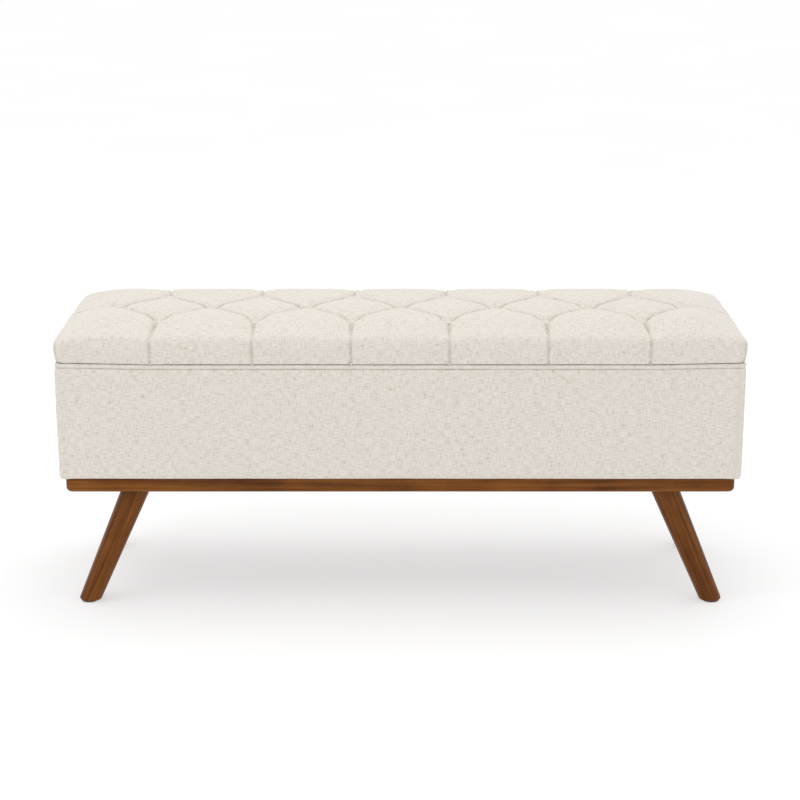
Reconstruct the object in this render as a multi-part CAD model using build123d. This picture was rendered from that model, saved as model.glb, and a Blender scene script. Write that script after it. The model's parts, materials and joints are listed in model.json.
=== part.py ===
from build123d import *

import math
import os

# Upholstered storage ottoman bench: a fabric-covered box on a walnut plinth with four splayed round legs,
# and a diamond-tufted lid that opens on three butt hinges and two damped parallel-arm stays.
# Millimetres. X runs along the length, -Y is the front, Z is up; the origin is on the floor under the middle.

# ---- driving dimensions ----
LENGTH = 1118.0  # over the box cover
DEPTH = 352.0
PLINTH_BOTTOM = 202.5
PLINTH_HEIGHT = 25.0
BOX_BOTTOM = 229.0  # lower edge of the box panels
HINGE_Z = 422.5  # middle of the gap between box and lid
LID_TOP = 475.0
RIM_GAP = 1.6  # between the rim and the lid's underside

CLOTH = 1.5
WADDING = 3.5
PLY = 12.0
RAIL = 22.0  # square section of the rim rails and corner posts
LINING = 2.5
COVER_CORNER_R = 6.0

HALF_X = LENGTH / 2
HALF_Y = DEPTH / 2
PLINTH_TOP = PLINTH_BOTTOM + PLINTH_HEIGHT
RIM_Z = HINGE_Z - RIM_GAP / 2
LID_Z = HINGE_Z + RIM_GAP / 2
PANEL_TOP = RIM_Z - CLOTH
PANEL_X = HALF_X - CLOTH - WADDING
PANEL_Y = HALF_Y - CLOTH - WADDING
INNER_X = PANEL_X - PLY
INNER_Y = PANEL_Y - PLY
LINED_X = INNER_X - RAIL  # the lining panels stand on the rails and posts
LINED_Y = INNER_Y - RAIL
CAVITY_X = LINED_X - LINING
CAVITY_Y = LINED_Y - LINING
FLOOR_BOARD = 9.0
FLOOR_TOP = BOX_BOTTOM + FLOOR_BOARD + CLOTH
COVER_RETURN = 35.0  # how far each cover is turned in underneath

# ---- rim welt ----
WELT_R = 3.8
WELT_INSET = 0.4
WELT_CORNER_R = 8.0
WELT_LEDGE = 8.0
WELT_BOTTOM = RIM_Z - 2 * WELT_R
PAD_R = 5.0
PAD_THICK = RIM_GAP - 0.1
PAD_X = HALF_X - 30.0
PAD_Y = HALF_Y - 28.0

# ---- plinth and legs ----
PLINTH_INSET = 8.5
PLINTH_RAIL_WIDTH = 70.0
PLINTH_END_WIDTH = 60.0
PLINTH_X = HALF_X - PLINTH_INSET
PLINTH_Y = HALF_Y - PLINTH_INSET
PLINTH_CORNER_R = 12.0
PLINTH_LOWER_R = 7.0
PLINTH_UPPER_R = 3.0
LEG_TOP_X = 437.5
LEG_FOOT_X = 524.5
LEG_Y = HALF_Y - 44.5
LEG_TOP_R = 22.5
LEG_FOOT_R = 17.3
LEG_EDGE_R = 3.0
GLIDE_THICK = 2.5
GLIDE_R = 13.5
BOLT_R = 4.0
BOLT_IN_LEG = 38.0
BOLT_IN_RAIL = 16.0
BOLT_TIP_ROOM = 5.0
INSERT_R = 6.5
INSERT_START = 4.0
INSERT_END = 17.5

# ---- lid ----
LID_OUT = 1.0  # the lid cover stands this much proud of the box cover
LID_CLOTH = 2.0
LID_X = HALF_X + LID_OUT
LID_Y = HALF_Y + LID_OUT
BOARD_THICK = 15.0
BOARD_X = HALF_X - 7.0
BOARD_Y = HALF_Y - 6.0
BOARD_Z = LID_Z + CLOTH
LID_CORNER_R = 14.0
LID_EDGE_R = 13.0

# ---- diamond tufting: 6, 7 and 6 buttons ----
TUFT_PITCH = 159.2
TUFT_ROW = 86.5
DIMPLE_DEPTH = 8.0
DIMPLE_TOP_R = 20.0
DIMPLE_FLOOR_R = 9.6
BUTTON_R = 9.0
BUTTON_RIM = 1.6
BUTTON_DOME = 4.6
SHANK_R = 2.0
SHANK_LENGTH = 7.0
TIE_R = 0.8
ANCHOR_R = 10.0
ANCHOR_THICK = 2.0

# ---- butt hinges ----
HINGE_X = (-400.0, 0.0, 400.0)
HINGE_NAMES = ("left", "centre", "right")
HINGE_LENGTH = 70.0
KNUCKLES = 5
KNUCKLE_GAP = 0.3
KNUCKLE_R = 3.5
HINGE_PIN_R = 1.5
RUNNING_CLEARANCE = 0.05
LEAF_THICK = 1.6
LEAF_OFF_AXIS = 0.15
LEAF_WIDTH = 30.0
PIN_END_ROOM = 0.2
PIN_HEAD_THICK = 1.0
PIN_HEAD_R = 3.0
BARREL_ROOM = 0.5
BARREL_END_ROOM = 2.0
POCKET_ROOM = 0.1
LEAF_SCREW_IN = 6.0  # from the leaf's inner edge
LEAF_SCREW_X = 24.0

# ---- damped stays: a parallelogram with the lid hinge, so each arm stays parallel to the lid ----
STAY_ARM = (-130.0, -22.0)  # Y, Z from the lid hinge to the lid bracket's stud
STAY_BASE = (-64.0, -75.0)  # Y, Z from the lid hinge to the damper's spindle
STAY_PLATE = 2.5
STAY_WIDTH = 18.0
DAMPER_R = 20.0
DAMPER_THICK = 13.0
DAMPER_CHAMFER = 2.0
FOOT_THICK = 3.0
FOOT_HALF_Z = 16.0
FOOT_FRONT = 34.0  # how far the damper's foot reaches in front of its spindle
FOOT_CORNER_R = 5.0
BLOCK_ROOM_Y = 2.0
BLOCK_ROOM_Z = 6.0
BRACKET_HALF = 34.0
BRACKET_FOOT = 14.0
EAR_R = 12.0
ARM_LAYER = 13.8  # each layer's distance from the lining
LINK_LAYER = 18.2
EAR_LAYER = 21.2
SPINDLE_R = 4.0
STUD_R = 3.0
STUD_HEAD_R = 5.5
STUD_HEAD_THICK = 1.1
SPINDLE_HEAD_R = 7.0
HEAD_GAP = 0.2

# ---- screws ----
SCREW_R = 1.75
SCREW_HEAD_R = 3.3
SCREW_HEAD_THICK = 1.5
LEAF_SCREW = 14.0  # lengths
DAMPER_SCREW = 16.0
PANEL_SCREW = 34.0
PLINTH_SCREW = 30.0
PANEL_SCREW_Z = (BOX_BOTTOM + 40.0, PANEL_TOP - 45.0)
PLINTH_SCREW_X = (-330.0, 0.0, 330.0)
PLINTH_SCREW_Y = PLINTH_Y - 40.0
SCREW_EDGE = 8.0  # how far in from a foot's edge


def block(x0, x1, y0, y1, z0, z1):
    """A box between two corners."""
    centre = Pos((x0 + x1) / 2, (y0 + y1) / 2, (z0 + z1) / 2)
    return centre * Box(abs(x1 - x0), abs(y1 - y0), abs(z1 - z0))


def prism(half_x, half_y, corner, z0, z1):
    """A rounded rectangle standing on the plane z0."""
    outline = RectangleRounded(2 * half_x, 2 * half_y, corner)
    return Pos(0, 0, z0) * extrude(outline, z1 - z0)


def rod(start, end, radius, end_radius=None):
    """A round bar, or a tapered one, between two points."""
    a = Vector(*start)
    along = Vector(*end) - a
    plane = Plane(origin=a, z_dir=along.normalized())
    if end_radius is None:
        bar = Cylinder(radius, along.length, align=(Align.CENTER, Align.CENTER, Align.MIN))
    else:
        bar = Cone(radius, end_radius, along.length, align=(Align.CENTER, Align.CENTER, Align.MIN))
    return plane * bar


def screw(point, direction, length):
    """A countersunk screw whose head is flush at a point, going in along a direction."""
    head = Vector(*point)
    way = Vector(*direction).normalized()
    neck = head + way * SCREW_HEAD_THICK
    tip = head + way * length
    return rod(head, neck, SCREW_HEAD_R, SCREW_R) + rod(neck, tip, SCREW_R)


def mirror_x(shape):
    """The same piece on the other side."""
    return mirror(shape, about=Plane.YZ)


def cut(shape, tools):
    """The shape without each of the tools that reaches it."""
    box = shape.bounding_box()
    for tool in tools:
        other = tool.bounding_box()
        apart = (
            other.min.X > box.max.X
            or other.max.X < box.min.X
            or other.min.Y > box.max.Y
            or other.max.Y < box.min.Y
            or other.min.Z > box.max.Z
            or other.max.Z < box.min.Z
        )
        if not apart:
            shape = shape - tool
    return shape


def save(name, shapes):
    """Writes one node's solids to its own file."""
    solids = [s for shape in shapes for s in shape.solids()]
    export_step(solids[0] if len(solids) == 1 else Compound(solids), f"parts/{name}.step")


# ---------------------------------------------------------------- legs and plinth


def leg_point(height):
    """The axis of the front right leg at a height."""
    share = height / PLINTH_BOTTOM
    return (LEG_FOOT_X + (LEG_TOP_X - LEG_FOOT_X) * share, -LEG_Y, height)


def along_leg(distance):
    """A point on the leg's axis, this far above the plinth's underside."""
    rise = PLINTH_BOTTOM / math.hypot(PLINTH_BOTTOM, LEG_TOP_X - LEG_FOOT_X)
    return leg_point(PLINTH_BOTTOM + distance * rise)


def turned_leg():
    """The front right leg: tapered, cut flat at both ends, with eased edges and a bore for its bolt."""
    reach = 30.0
    taper = (LEG_TOP_R - LEG_FOOT_R) / PLINTH_BOTTOM
    cone = rod(
        leg_point(-reach),
        leg_point(PLINTH_BOTTOM + reach),
        LEG_FOOT_R - taper * reach,
        LEG_TOP_R + taper * reach,
    )
    body = cone & block(0, LENGTH, -DEPTH, 0, GLIDE_THICK, PLINTH_BOTTOM)
    body = fillet(body.edges().filter_by(GeomType.ELLIPSE), LEG_EDGE_R)
    return body - rod(along_leg(-BOLT_IN_LEG), along_leg(BOLT_TIP_ROOM), BOLT_R)


def at_each_leg(shape):
    """The front right piece and its three mirror images, in the order FR, FL, BR, BL."""
    back = mirror(shape, about=Plane.XZ)
    return [shape, mirror_x(shape), back, mirror_x(back)]


def plinth():
    """The flat frame of rails: long rails run through and the end and middle rails butt between them."""
    slab = prism(PLINTH_X, PLINTH_Y, PLINTH_CORNER_R, PLINTH_BOTTOM, PLINTH_TOP)
    slab = fillet(slab.edges().group_by(Axis.Z)[0], PLINTH_LOWER_R)
    slab = fillet(slab.edges().group_by(Axis.Z)[-1], PLINTH_UPPER_R)
    inner_y = PLINTH_Y - PLINTH_RAIL_WIDTH
    inner_x = PLINTH_X - PLINTH_END_WIDTH
    half_end = PLINTH_END_WIDTH / 2
    low, high = PLINTH_BOTTOM - 1, PLINTH_TOP + 1
    front = slab & block(-LENGTH, LENGTH, -DEPTH, -inner_y, low, high)
    right = slab & block(inner_x, LENGTH, -inner_y, inner_y, low, high)
    middle = slab & block(-half_end, half_end, -inner_y, inner_y, low, high)
    front = cut(front, at_each_leg(rod(along_leg(-INSERT_END), along_leg(INSERT_END), INSERT_R)))
    return {
        "plinth_front_rail": [front],
        "plinth_back_rail": [mirror(front, about=Plane.XZ)],
        "plinth_right_rail": [right],
        "plinth_left_rail": [mirror_x(right)],
        "plinth_middle_rail": [middle],
    }


# ---------------------------------------------------------------- box


def box_frame():
    """Plywood walls, floor board, rim rails and corner posts."""
    ledge = prism(HALF_X + 5, HALF_Y + 5, 5, WELT_BOTTOM, RIM_Z)
    ledge -= prism(HALF_X - WELT_LEDGE, HALF_Y - WELT_LEDGE, WELT_CORNER_R - WELT_R, WELT_BOTTOM, RIM_Z)
    front = block(-PANEL_X, PANEL_X, -PANEL_Y, -INNER_Y, BOX_BOTTOM, PANEL_TOP) - ledge
    right = block(INNER_X, PANEL_X, -INNER_Y, INNER_Y, BOX_BOTTOM, PANEL_TOP) - ledge
    rail_z = PANEL_TOP - RAIL
    rail_front = block(-INNER_X, INNER_X, -INNER_Y, -LINED_Y, rail_z, PANEL_TOP)
    rail_right = block(LINED_X, INNER_X, -LINED_Y, LINED_Y, rail_z, PANEL_TOP)
    board_top = BOX_BOTTOM + FLOOR_BOARD
    post = block(LINED_X, INNER_X, -INNER_Y, -LINED_Y, board_top, rail_z)
    return {
        "box_front_panel": [front],
        "box_back_panel": [mirror(front, about=Plane.XZ)],
        "box_right_panel": [right],
        "box_left_panel": [mirror_x(right)],
        "box_floor_board": [block(-INNER_X, INNER_X, -INNER_Y, INNER_Y, BOX_BOTTOM, board_top)],
        "rim_rail_front": [rail_front],
        "rim_rail_back": [mirror(rail_front, about=Plane.XZ)],
        "rim_rail_right": [rail_right],
        "rim_rail_left": [mirror_x(rail_right)],
        "corner_posts": at_each_leg(post),
    }


def box_linings():
    """Cloth-faced lining boards on the four walls and the floor."""
    front = block(-LINED_X, LINED_X, -LINED_Y, -CAVITY_Y, FLOOR_TOP, PANEL_TOP)
    right = block(CAVITY_X, LINED_X, -CAVITY_Y, CAVITY_Y, FLOOR_TOP, PANEL_TOP)
    return {
        "lining_front": [front],
        "lining_back": [mirror(front, about=Plane.XZ)],
        "lining_right": [right],
        "lining_left": [mirror_x(right)],
        "lining_floor": [block(-LINED_X, LINED_X, -LINED_Y, LINED_Y, FLOOR_TOP - CLOTH, FLOOR_TOP)],
    }


def box_covering():
    """The outer cover with its underside return, the rim strip, the wadding and the dust cloth."""
    inner_r = COVER_CORNER_R - CLOTH
    return_x, return_y = HALF_X - COVER_RETURN, HALF_Y - COVER_RETURN
    dust_cloth = prism(return_x, return_y, COVER_CORNER_R, PLINTH_TOP, BOX_BOTTOM)
    skirt = prism(HALF_X, HALF_Y, COVER_CORNER_R, PLINTH_TOP, WELT_BOTTOM)
    skirt -= prism(HALF_X - CLOTH, HALF_Y - CLOTH, inner_r, BOX_BOTTOM, WELT_BOTTOM)
    skirt -= dust_cloth
    strip = prism(HALF_X - WELT_LEDGE, HALF_Y - WELT_LEDGE, WELT_CORNER_R - WELT_R, PANEL_TOP, RIM_Z)
    strip -= block(-CAVITY_X, CAVITY_X, -CAVITY_Y, CAVITY_Y, PANEL_TOP, RIM_Z)
    layer = prism(HALF_X - CLOTH, HALF_Y - CLOTH, inner_r, BOX_BOTTOM, WELT_BOTTOM)
    front = layer & block(-LENGTH, LENGTH, -DEPTH, -PANEL_Y, BOX_BOTTOM, WELT_BOTTOM)
    right = layer & block(PANEL_X, LENGTH, -PANEL_Y, PANEL_Y, BOX_BOTTOM, WELT_BOTTOM)
    return {
        "box_cover": [skirt],
        "rim_strip": [strip],
        "box_wadding": [front, mirror(front, about=Plane.XZ), right, mirror_x(right)],
        "dust_cloth": [dust_cloth],
    }


def rim_welt():
    """The covered cord that runs round the box's top edge."""
    path_x = HALF_X - WELT_INSET - WELT_R
    path_y = HALF_Y - WELT_INSET - WELT_R
    path = Pos(0, 0, RIM_Z - WELT_R) * RectangleRounded(2 * path_x, 2 * path_y, WELT_CORNER_R).wire()
    section = Plane(origin=path @ 0, z_dir=path % 0) * Circle(WELT_R)
    return sweep(section, path=path)


def rim_bumpers():
    """Four soft pads that the closed lid rests on."""
    return at_each_leg(rod((PAD_X, -PAD_Y, RIM_Z), (PAD_X, -PAD_Y, RIM_Z + PAD_THICK), PAD_R))


# ---------------------------------------------------------------- lid


def tuft_points():
    """Where the buttons are, row by row from the front."""
    outer = [(i - 2.5) * TUFT_PITCH for i in range(6)]
    inner = [(i - 3) * TUFT_PITCH for i in range(7)]
    rows = ((outer, -TUFT_ROW), (inner, 0.0), (outer, TUFT_ROW))
    return [(x, y) for xs, y in rows for x in xs]


def tufted_form(inset, base):
    """The lid's outer form, taken in by an inset, with a cone under each button."""
    top = LID_TOP - inset
    form = prism(LID_X - inset, LID_Y - inset, LID_CORNER_R - inset, base, top)
    form = fillet(form.edges().group_by(Axis.Z)[-1], LID_EDGE_R - inset)
    for x, y in tuft_points():
        floor = LID_TOP - DIMPLE_DEPTH - inset
        cone = Cone(
            DIMPLE_FLOOR_R + inset,
            DIMPLE_TOP_R + inset,
            top - floor,
            align=(Align.CENTER, Align.CENTER, Align.MIN),
        )
        form -= Pos(x, y, floor) * cone
    return form


def lid_layers():
    """The board, the foam over it, the tufted cover that is turned in underneath, and the cloth inside."""
    board = prism(BOARD_X, BOARD_Y, COVER_CORNER_R, BOARD_Z, BOARD_Z + BOARD_THICK)
    cloth = prism(HALF_X - COVER_RETURN, HALF_Y - COVER_RETURN, COVER_CORNER_R, LID_Z, BOARD_Z)
    core = tufted_form(LID_CLOTH, BOARD_Z)
    cover = tufted_form(0, LID_Z) - core - cloth
    return {"lid_board": [board], "lid_foam": [core - board], "lid_cover": [cover], "lid_cloth": [cloth]}


def tuft_button():
    """One covered button with its shank, at the origin, seated on Z = 0."""
    cap = Cylinder(BUTTON_R, BUTTON_RIM, align=(Align.CENTER, Align.CENTER, Align.MIN))
    rise = BUTTON_DOME - BUTTON_RIM
    ball_r = (BUTTON_R**2 + rise**2) / (2 * rise)
    ball = Pos(0, 0, BUTTON_DOME - ball_r) * Sphere(ball_r)
    dome = ball & Pos(0, 0, BUTTON_RIM) * Cylinder(
        BUTTON_R, rise + 1, align=(Align.CENTER, Align.CENTER, Align.MIN)
    )
    return cap + dome + button_shank()


def button_shank():
    """The metal loop's barrel that goes down into the foam, at the origin."""
    return rod((0, 0, -SHANK_LENGTH), (0, 0, 0), SHANK_R)


def tufting():
    """Buttons, the twine that draws each one down and the washer that anchors it, then what they clear."""
    seat = LID_TOP - DIMPLE_DEPTH
    button, shank = tuft_button(), button_shank()
    made = {"tuft_buttons": [], "button_ties": [], "button_anchors": []}
    shanks, washers = [], []
    for x, y in tuft_points():
        tie = rod((x, y, BOARD_Z), (x, y, seat - SHANK_LENGTH), TIE_R)
        washers.append(rod((x, y, BOARD_Z), (x, y, BOARD_Z + ANCHOR_THICK), ANCHOR_R))
        shanks.append(Pos(x, y, seat) * shank)
        made["tuft_buttons"].append(Pos(x, y, seat) * button)
        made["button_ties"].append(tie)
        made["button_anchors"].append(washers[-1] - tie)
    return made, shanks + washers + made["button_ties"]


# ---------------------------------------------------------------- hinges


def knuckles(side):
    """The X spans of one leaf's knuckles: the lid's leaf, side +1, has every second one."""
    pitch = HINGE_LENGTH / KNUCKLES
    first = 1 if side > 0 else 0
    starts = [k * pitch - HINGE_LENGTH / 2 for k in range(first, KNUCKLES, 2)]
    return [(x + KNUCKLE_GAP / 2, x + pitch - KNUCKLE_GAP / 2) for x in starts]


def hinge_leaf(side):
    """One leaf at X = 0: side +1 lies under the lid and side -1 on the box's rim."""
    half = HINGE_LENGTH / 2
    near = HINGE_Z + LEAF_OFF_AXIS * side
    far = near + LEAF_THICK * side
    z0, z1 = min(near, far), max(near, far)
    edge = HALF_Y - KNUCKLE_R - KNUCKLE_GAP
    leaf = block(-half, half, HALF_Y - LEAF_WIDTH, edge, z0, z1)
    for x0, x1 in knuckles(side):
        leaf += rod((x0, HALF_Y, HINGE_Z), (x1, HALF_Y, HINGE_Z), KNUCKLE_R)
        leaf += block(x0, x1, edge, HALF_Y, z0, z1)
    return leaf - rod((-LENGTH, HALF_Y, HINGE_Z), (LENGTH, HALF_Y, HINGE_Z), HINGE_PIN_R + RUNNING_CLEARANCE)


def hinge_pin():
    """The pin with a small head at each end, clear of the knuckles."""
    neck = HINGE_LENGTH / 2 + PIN_END_ROOM
    tip = neck + PIN_HEAD_THICK
    pin = rod((-tip, HALF_Y, HINGE_Z), (tip, HALF_Y, HINGE_Z), HINGE_PIN_R)
    for end in (-1, 1):
        pin += rod((end * neck, HALF_Y, HINGE_Z), (end * tip, HALF_Y, HINGE_Z), PIN_HEAD_R)
    return pin


def hinge_room(x):
    """What the cloth and welt leave free for one hinge: the barrel and a pocket for each leaf."""
    half = HINGE_LENGTH / 2 + BARREL_END_ROOM
    inner = HALF_Y - LEAF_WIDTH - POCKET_ROOM
    reach = LEAF_OFF_AXIS + LEAF_THICK + POCKET_ROOM
    barrel = rod((x - half, HALF_Y, HINGE_Z), (x + half, HALF_Y, HINGE_Z), KNUCKLE_R + BARREL_ROOM)
    pocket = block(x - half, x + half, inner, DEPTH, HINGE_Z - reach, HINGE_Z + reach)
    return [barrel, pocket]


def hinge_screws(side):
    """Two screws through each leaf, up into the lid for side +1 and down into the rim rail for -1."""
    y = HALF_Y - LEAF_WIDTH + LEAF_SCREW_IN
    face = HINGE_Z + LEAF_OFF_AXIS * side
    xs = [x + offset for x in HINGE_X for offset in (-LEAF_SCREW_X, LEAF_SCREW_X)]
    return [screw((x, y, face), (0, 0, side), LEAF_SCREW) for x in xs]


def hinges():
    """Every leaf in its own node, and the pins together."""
    made = {"hinge_pins": [Pos(x, 0, 0) * hinge_pin() for x in HINGE_X]}
    for name, x in zip(HINGE_NAMES, HINGE_X):
        made[f"hinge_{name}_box_leaf"] = [Pos(x, 0, 0) * hinge_leaf(-1)]
        made[f"hinge_{name}_lid_leaf"] = [Pos(x, 0, 0) * hinge_leaf(1)]
    return made


# ---------------------------------------------------------------- stays (modelled on the right)

# Y and Z of the three pivots at rest: the spindle on the box, the stud on the lid, the elbow between
SPINDLE = (HALF_Y + STAY_BASE[0], HINGE_Z + STAY_BASE[1])
STUD = (HALF_Y + STAY_ARM[0], HINGE_Z + STAY_ARM[1])
ELBOW = (STUD[0] + STAY_BASE[0], STUD[1] + STAY_BASE[1])


def across(point, start, end, radius):
    """A round piece across the stay, from one distance off the lining to another."""
    return rod((CAVITY_X - start, *point), (CAVITY_X - end, *point), radius)


def flat_bar(a, b, layer):
    """A flat bar with round ends from one pivot to another."""
    plane = Plane(origin=(CAVITY_X - layer, *a), x_dir=(0, b[0] - a[0], b[1] - a[1]), z_dir=(-1, 0, 0))
    length = math.dist(a, b)
    outline = Pos(length / 2, 0) * SlotCenterToCenter(length, STAY_WIDTH)
    return extrude(plane * outline, STAY_PLATE)


def stay_damper():
    """The damper body on the lining, with its mounting foot and the spindle that the arm turns on."""
    y, z = SPINDLE
    body = across(SPINDLE, 0, DAMPER_THICK, DAMPER_R)
    body = chamfer(body.edges().filter_by(GeomType.CIRCLE).sort_by(Axis.X)[0], DAMPER_CHAMFER)
    back = y + FOOT_HALF_Z
    low, high = z - FOOT_HALF_Z, z + FOOT_HALF_Z
    foot = block(CAVITY_X - FOOT_THICK, CAVITY_X, y - FOOT_FRONT, back, low, high)
    foot = fillet(foot.edges().filter_by(Axis.X), FOOT_CORNER_R)
    neck = ARM_LAYER + STAY_PLATE + HEAD_GAP
    spindle = across(SPINDLE, DAMPER_THICK, neck, SPINDLE_R)
    return body + foot + spindle + across(SPINDLE, neck, neck + STUD_HEAD_THICK, SPINDLE_HEAD_R)


def stay_arm():
    """The lower arm, with the elbow rivet that the link turns on."""
    face = ARM_LAYER + STAY_PLATE
    collar = LINK_LAYER - HEAD_GAP
    neck = LINK_LAYER + STAY_PLATE + HEAD_GAP
    arm = flat_bar(SPINDLE, ELBOW, ARM_LAYER) - across(SPINDLE, 0, neck, SPINDLE_R + RUNNING_CLEARANCE)
    arm += across(ELBOW, face, collar, STUD_HEAD_R)
    arm += across(ELBOW, face, neck, STUD_R)
    return arm + across(ELBOW, neck, neck + STUD_HEAD_THICK, STUD_HEAD_R)


def stay_link():
    """The link from the elbow to the lid bracket."""
    link = flat_bar(ELBOW, STUD, LINK_LAYER)
    for point in (ELBOW, STUD):
        link -= across(point, ARM_LAYER, EAR_LAYER, STUD_R + RUNNING_CLEARANCE)
    return link


def stay_bracket():
    """The lid bracket: a foot under the lid, an ear, and the stud through the link."""
    y, z = STUD
    outer = CAVITY_X - EAR_LAYER
    inner = outer - STAY_PLATE
    under = LID_Z - STAY_PLATE
    foot = block(inner - BRACKET_FOOT, outer, y - BRACKET_HALF, y + BRACKET_HALF, under, LID_Z)
    foot = fillet(foot.edges().filter_by(Axis.Z).sort_by(Axis.X)[:2], FOOT_CORNER_R)
    ear = block(inner, outer, y - EAR_R, y + EAR_R, z, under)
    ear += across(STUD, EAR_LAYER, EAR_LAYER + STAY_PLATE, EAR_R)
    neck = LINK_LAYER - HEAD_GAP
    stud = across(STUD, neck - STUD_HEAD_THICK, EAR_LAYER, STUD_R)
    return foot + ear + stud + across(STUD, neck - STUD_HEAD_THICK, neck, STUD_HEAD_R)


def stays():
    """Both stays, piece by piece."""
    made = {}
    pieces = {"damper": stay_damper(), "arm": stay_arm(), "link": stay_link(), "bracket": stay_bracket()}
    for piece, shape in pieces.items():
        made[f"stay_right_{piece}"] = [shape]
        made[f"stay_left_{piece}"] = [mirror_x(shape)]
    return made


def bracket_screws():
    """Two screws up through each bracket's foot into the lid board."""
    x = CAVITY_X - EAR_LAYER - STAY_PLATE - BRACKET_FOOT / 2
    offset = BRACKET_HALF - SCREW_EDGE
    right = [screw((x, STUD[0] + way * offset, LID_Z - STAY_PLATE), (0, 0, 1), LEAF_SCREW) for way in (-1, 1)]
    return right + [mirror_x(s) for s in right]


def damper_screws():
    """Two screws out through each damper's foot into its backing block."""
    y = SPINDLE[0] - FOOT_FRONT + FOOT_CORNER_R
    offset = FOOT_HALF_Z - SCREW_EDGE
    start = CAVITY_X - FOOT_THICK
    right = [screw((start, y, SPINDLE[1] + way * offset), (1, 0, 0), DAMPER_SCREW) for way in (-1, 1)]
    return right + [mirror_x(s) for s in right]


def backing_blocks():
    """The blocks behind the end linings that take the dampers' screws."""
    front = SPINDLE[0] - FOOT_FRONT - BLOCK_ROOM_Y
    half = FOOT_HALF_Z + BLOCK_ROOM_Z
    right = block(LINED_X, INNER_X, front, LINED_Y, SPINDLE[1] - half, SPINDLE[1] + half)
    return [right, mirror_x(right)]


# ---------------------------------------------------------------- fasteners in the frame


def panel_screws():
    """Screws through the long panels into the end panels' edges."""
    x = PANEL_X - PLY / 2
    return [s for z in PANEL_SCREW_Z for s in at_each_leg(screw((x, -PANEL_Y, z), (0, 1, 0), PANEL_SCREW))]


def plinth_screws():
    """Screws up through the long rails into the floor board."""
    points = [(x, y) for y in (-PLINTH_SCREW_Y, PLINTH_SCREW_Y) for x in PLINTH_SCREW_X]
    return [screw((x, y, PLINTH_BOTTOM), (0, 0, 1), PLINTH_SCREW) for x, y in points]


# ---------------------------------------------------------------- assembly


def legs():
    """The four legs with their glides, hanger bolts and insert nuts."""
    x, y, _ = leg_point(GLIDE_THICK / 2)
    bolt = rod(along_leg(-BOLT_IN_LEG), along_leg(BOLT_IN_RAIL), BOLT_R)
    insert = rod(along_leg(INSERT_START), along_leg(INSERT_END), INSERT_R) - bolt
    names = ("front_right", "front_left", "back_right", "back_left")
    made = {f"leg_{name}": [leg] for name, leg in zip(names, at_each_leg(turned_leg()))}
    made["leg_glides"] = at_each_leg(rod((x, y, 0), (x, y, GLIDE_THICK), GLIDE_R))
    made["leg_hanger_bolts"] = at_each_leg(bolt)
    made["leg_insert_nuts"] = at_each_leg(insert)
    return made


def build():
    """Makes every piece, lets the hardware into the wood and cloth, and returns each node's solids."""
    frame_screws = panel_screws() + plinth_screws()
    base_screws = hinge_screws(-1) + damper_screws()
    lid_screws = hinge_screws(1) + bracket_screws()
    screws = frame_screws + base_screws + lid_screws
    tufts, tuft_room = tufting()
    room = [piece for x in HINGE_X for piece in hinge_room(x)]

    carcass = {**plinth(), **box_frame(), **box_linings(), **box_covering(), **lid_layers()}
    carcass["rim_welt"] = [rim_welt()]
    carcass["stay_backing_blocks"] = backing_blocks()
    hardware = {**hinges(), **stays()}
    nodes = {name: [cut(s, screws + room + tuft_room) for s in solids] for name, solids in carcass.items()}
    nodes.update({name: [cut(s, screws) for s in solids] for name, solids in hardware.items()})
    nodes.update({**legs(), **tufts, "rim_bumpers": rim_bumpers(), "frame_screws": frame_screws})
    nodes["base_hardware_screws"] = base_screws
    nodes["lid_hardware_screws"] = lid_screws
    return nodes


os.makedirs("parts", exist_ok=True)
for node, solids in build().items():
    save(node, solids)
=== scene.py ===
"""A storage bench with a diamond-tufted lid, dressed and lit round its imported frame.

Metres, +Z up, the front at -Y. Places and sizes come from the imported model.
"""

import json
import logging
import math
from dataclasses import dataclass, field
from enum import Enum

import bmesh
import bpy
import numpy as np
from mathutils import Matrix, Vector
from mathutils.kdtree import KDTree

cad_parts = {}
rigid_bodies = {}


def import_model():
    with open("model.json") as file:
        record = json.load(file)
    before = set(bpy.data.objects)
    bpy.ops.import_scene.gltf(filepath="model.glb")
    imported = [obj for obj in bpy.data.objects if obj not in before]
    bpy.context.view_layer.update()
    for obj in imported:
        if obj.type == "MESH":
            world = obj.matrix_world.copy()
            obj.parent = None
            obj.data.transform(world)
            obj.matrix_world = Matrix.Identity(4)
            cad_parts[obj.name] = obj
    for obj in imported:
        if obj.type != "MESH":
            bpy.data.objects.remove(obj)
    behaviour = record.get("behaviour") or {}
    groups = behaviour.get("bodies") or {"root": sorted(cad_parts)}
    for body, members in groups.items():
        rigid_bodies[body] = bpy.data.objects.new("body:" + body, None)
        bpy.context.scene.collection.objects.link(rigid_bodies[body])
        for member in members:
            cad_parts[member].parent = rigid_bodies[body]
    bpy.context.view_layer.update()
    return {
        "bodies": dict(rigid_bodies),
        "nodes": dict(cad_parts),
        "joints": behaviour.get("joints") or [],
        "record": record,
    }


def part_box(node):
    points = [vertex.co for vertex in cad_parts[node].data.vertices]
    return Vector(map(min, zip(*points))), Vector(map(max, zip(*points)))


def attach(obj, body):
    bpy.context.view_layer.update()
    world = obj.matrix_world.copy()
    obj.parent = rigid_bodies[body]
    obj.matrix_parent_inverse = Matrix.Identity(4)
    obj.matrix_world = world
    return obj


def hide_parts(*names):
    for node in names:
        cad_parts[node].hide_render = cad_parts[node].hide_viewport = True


log = logging.getLogger("bench")

Colour = tuple[float, float, float]
Point = tuple[float, float, float]
Faces = list[tuple[int, ...]]

MM = 0.001
CLOTH_PLACE = "cloth_place"
CREASE = "crease_edge"
LEG_SPLAY = math.radians(23.25)


# ---------------------------------------------------------------- shader graphs


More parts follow.
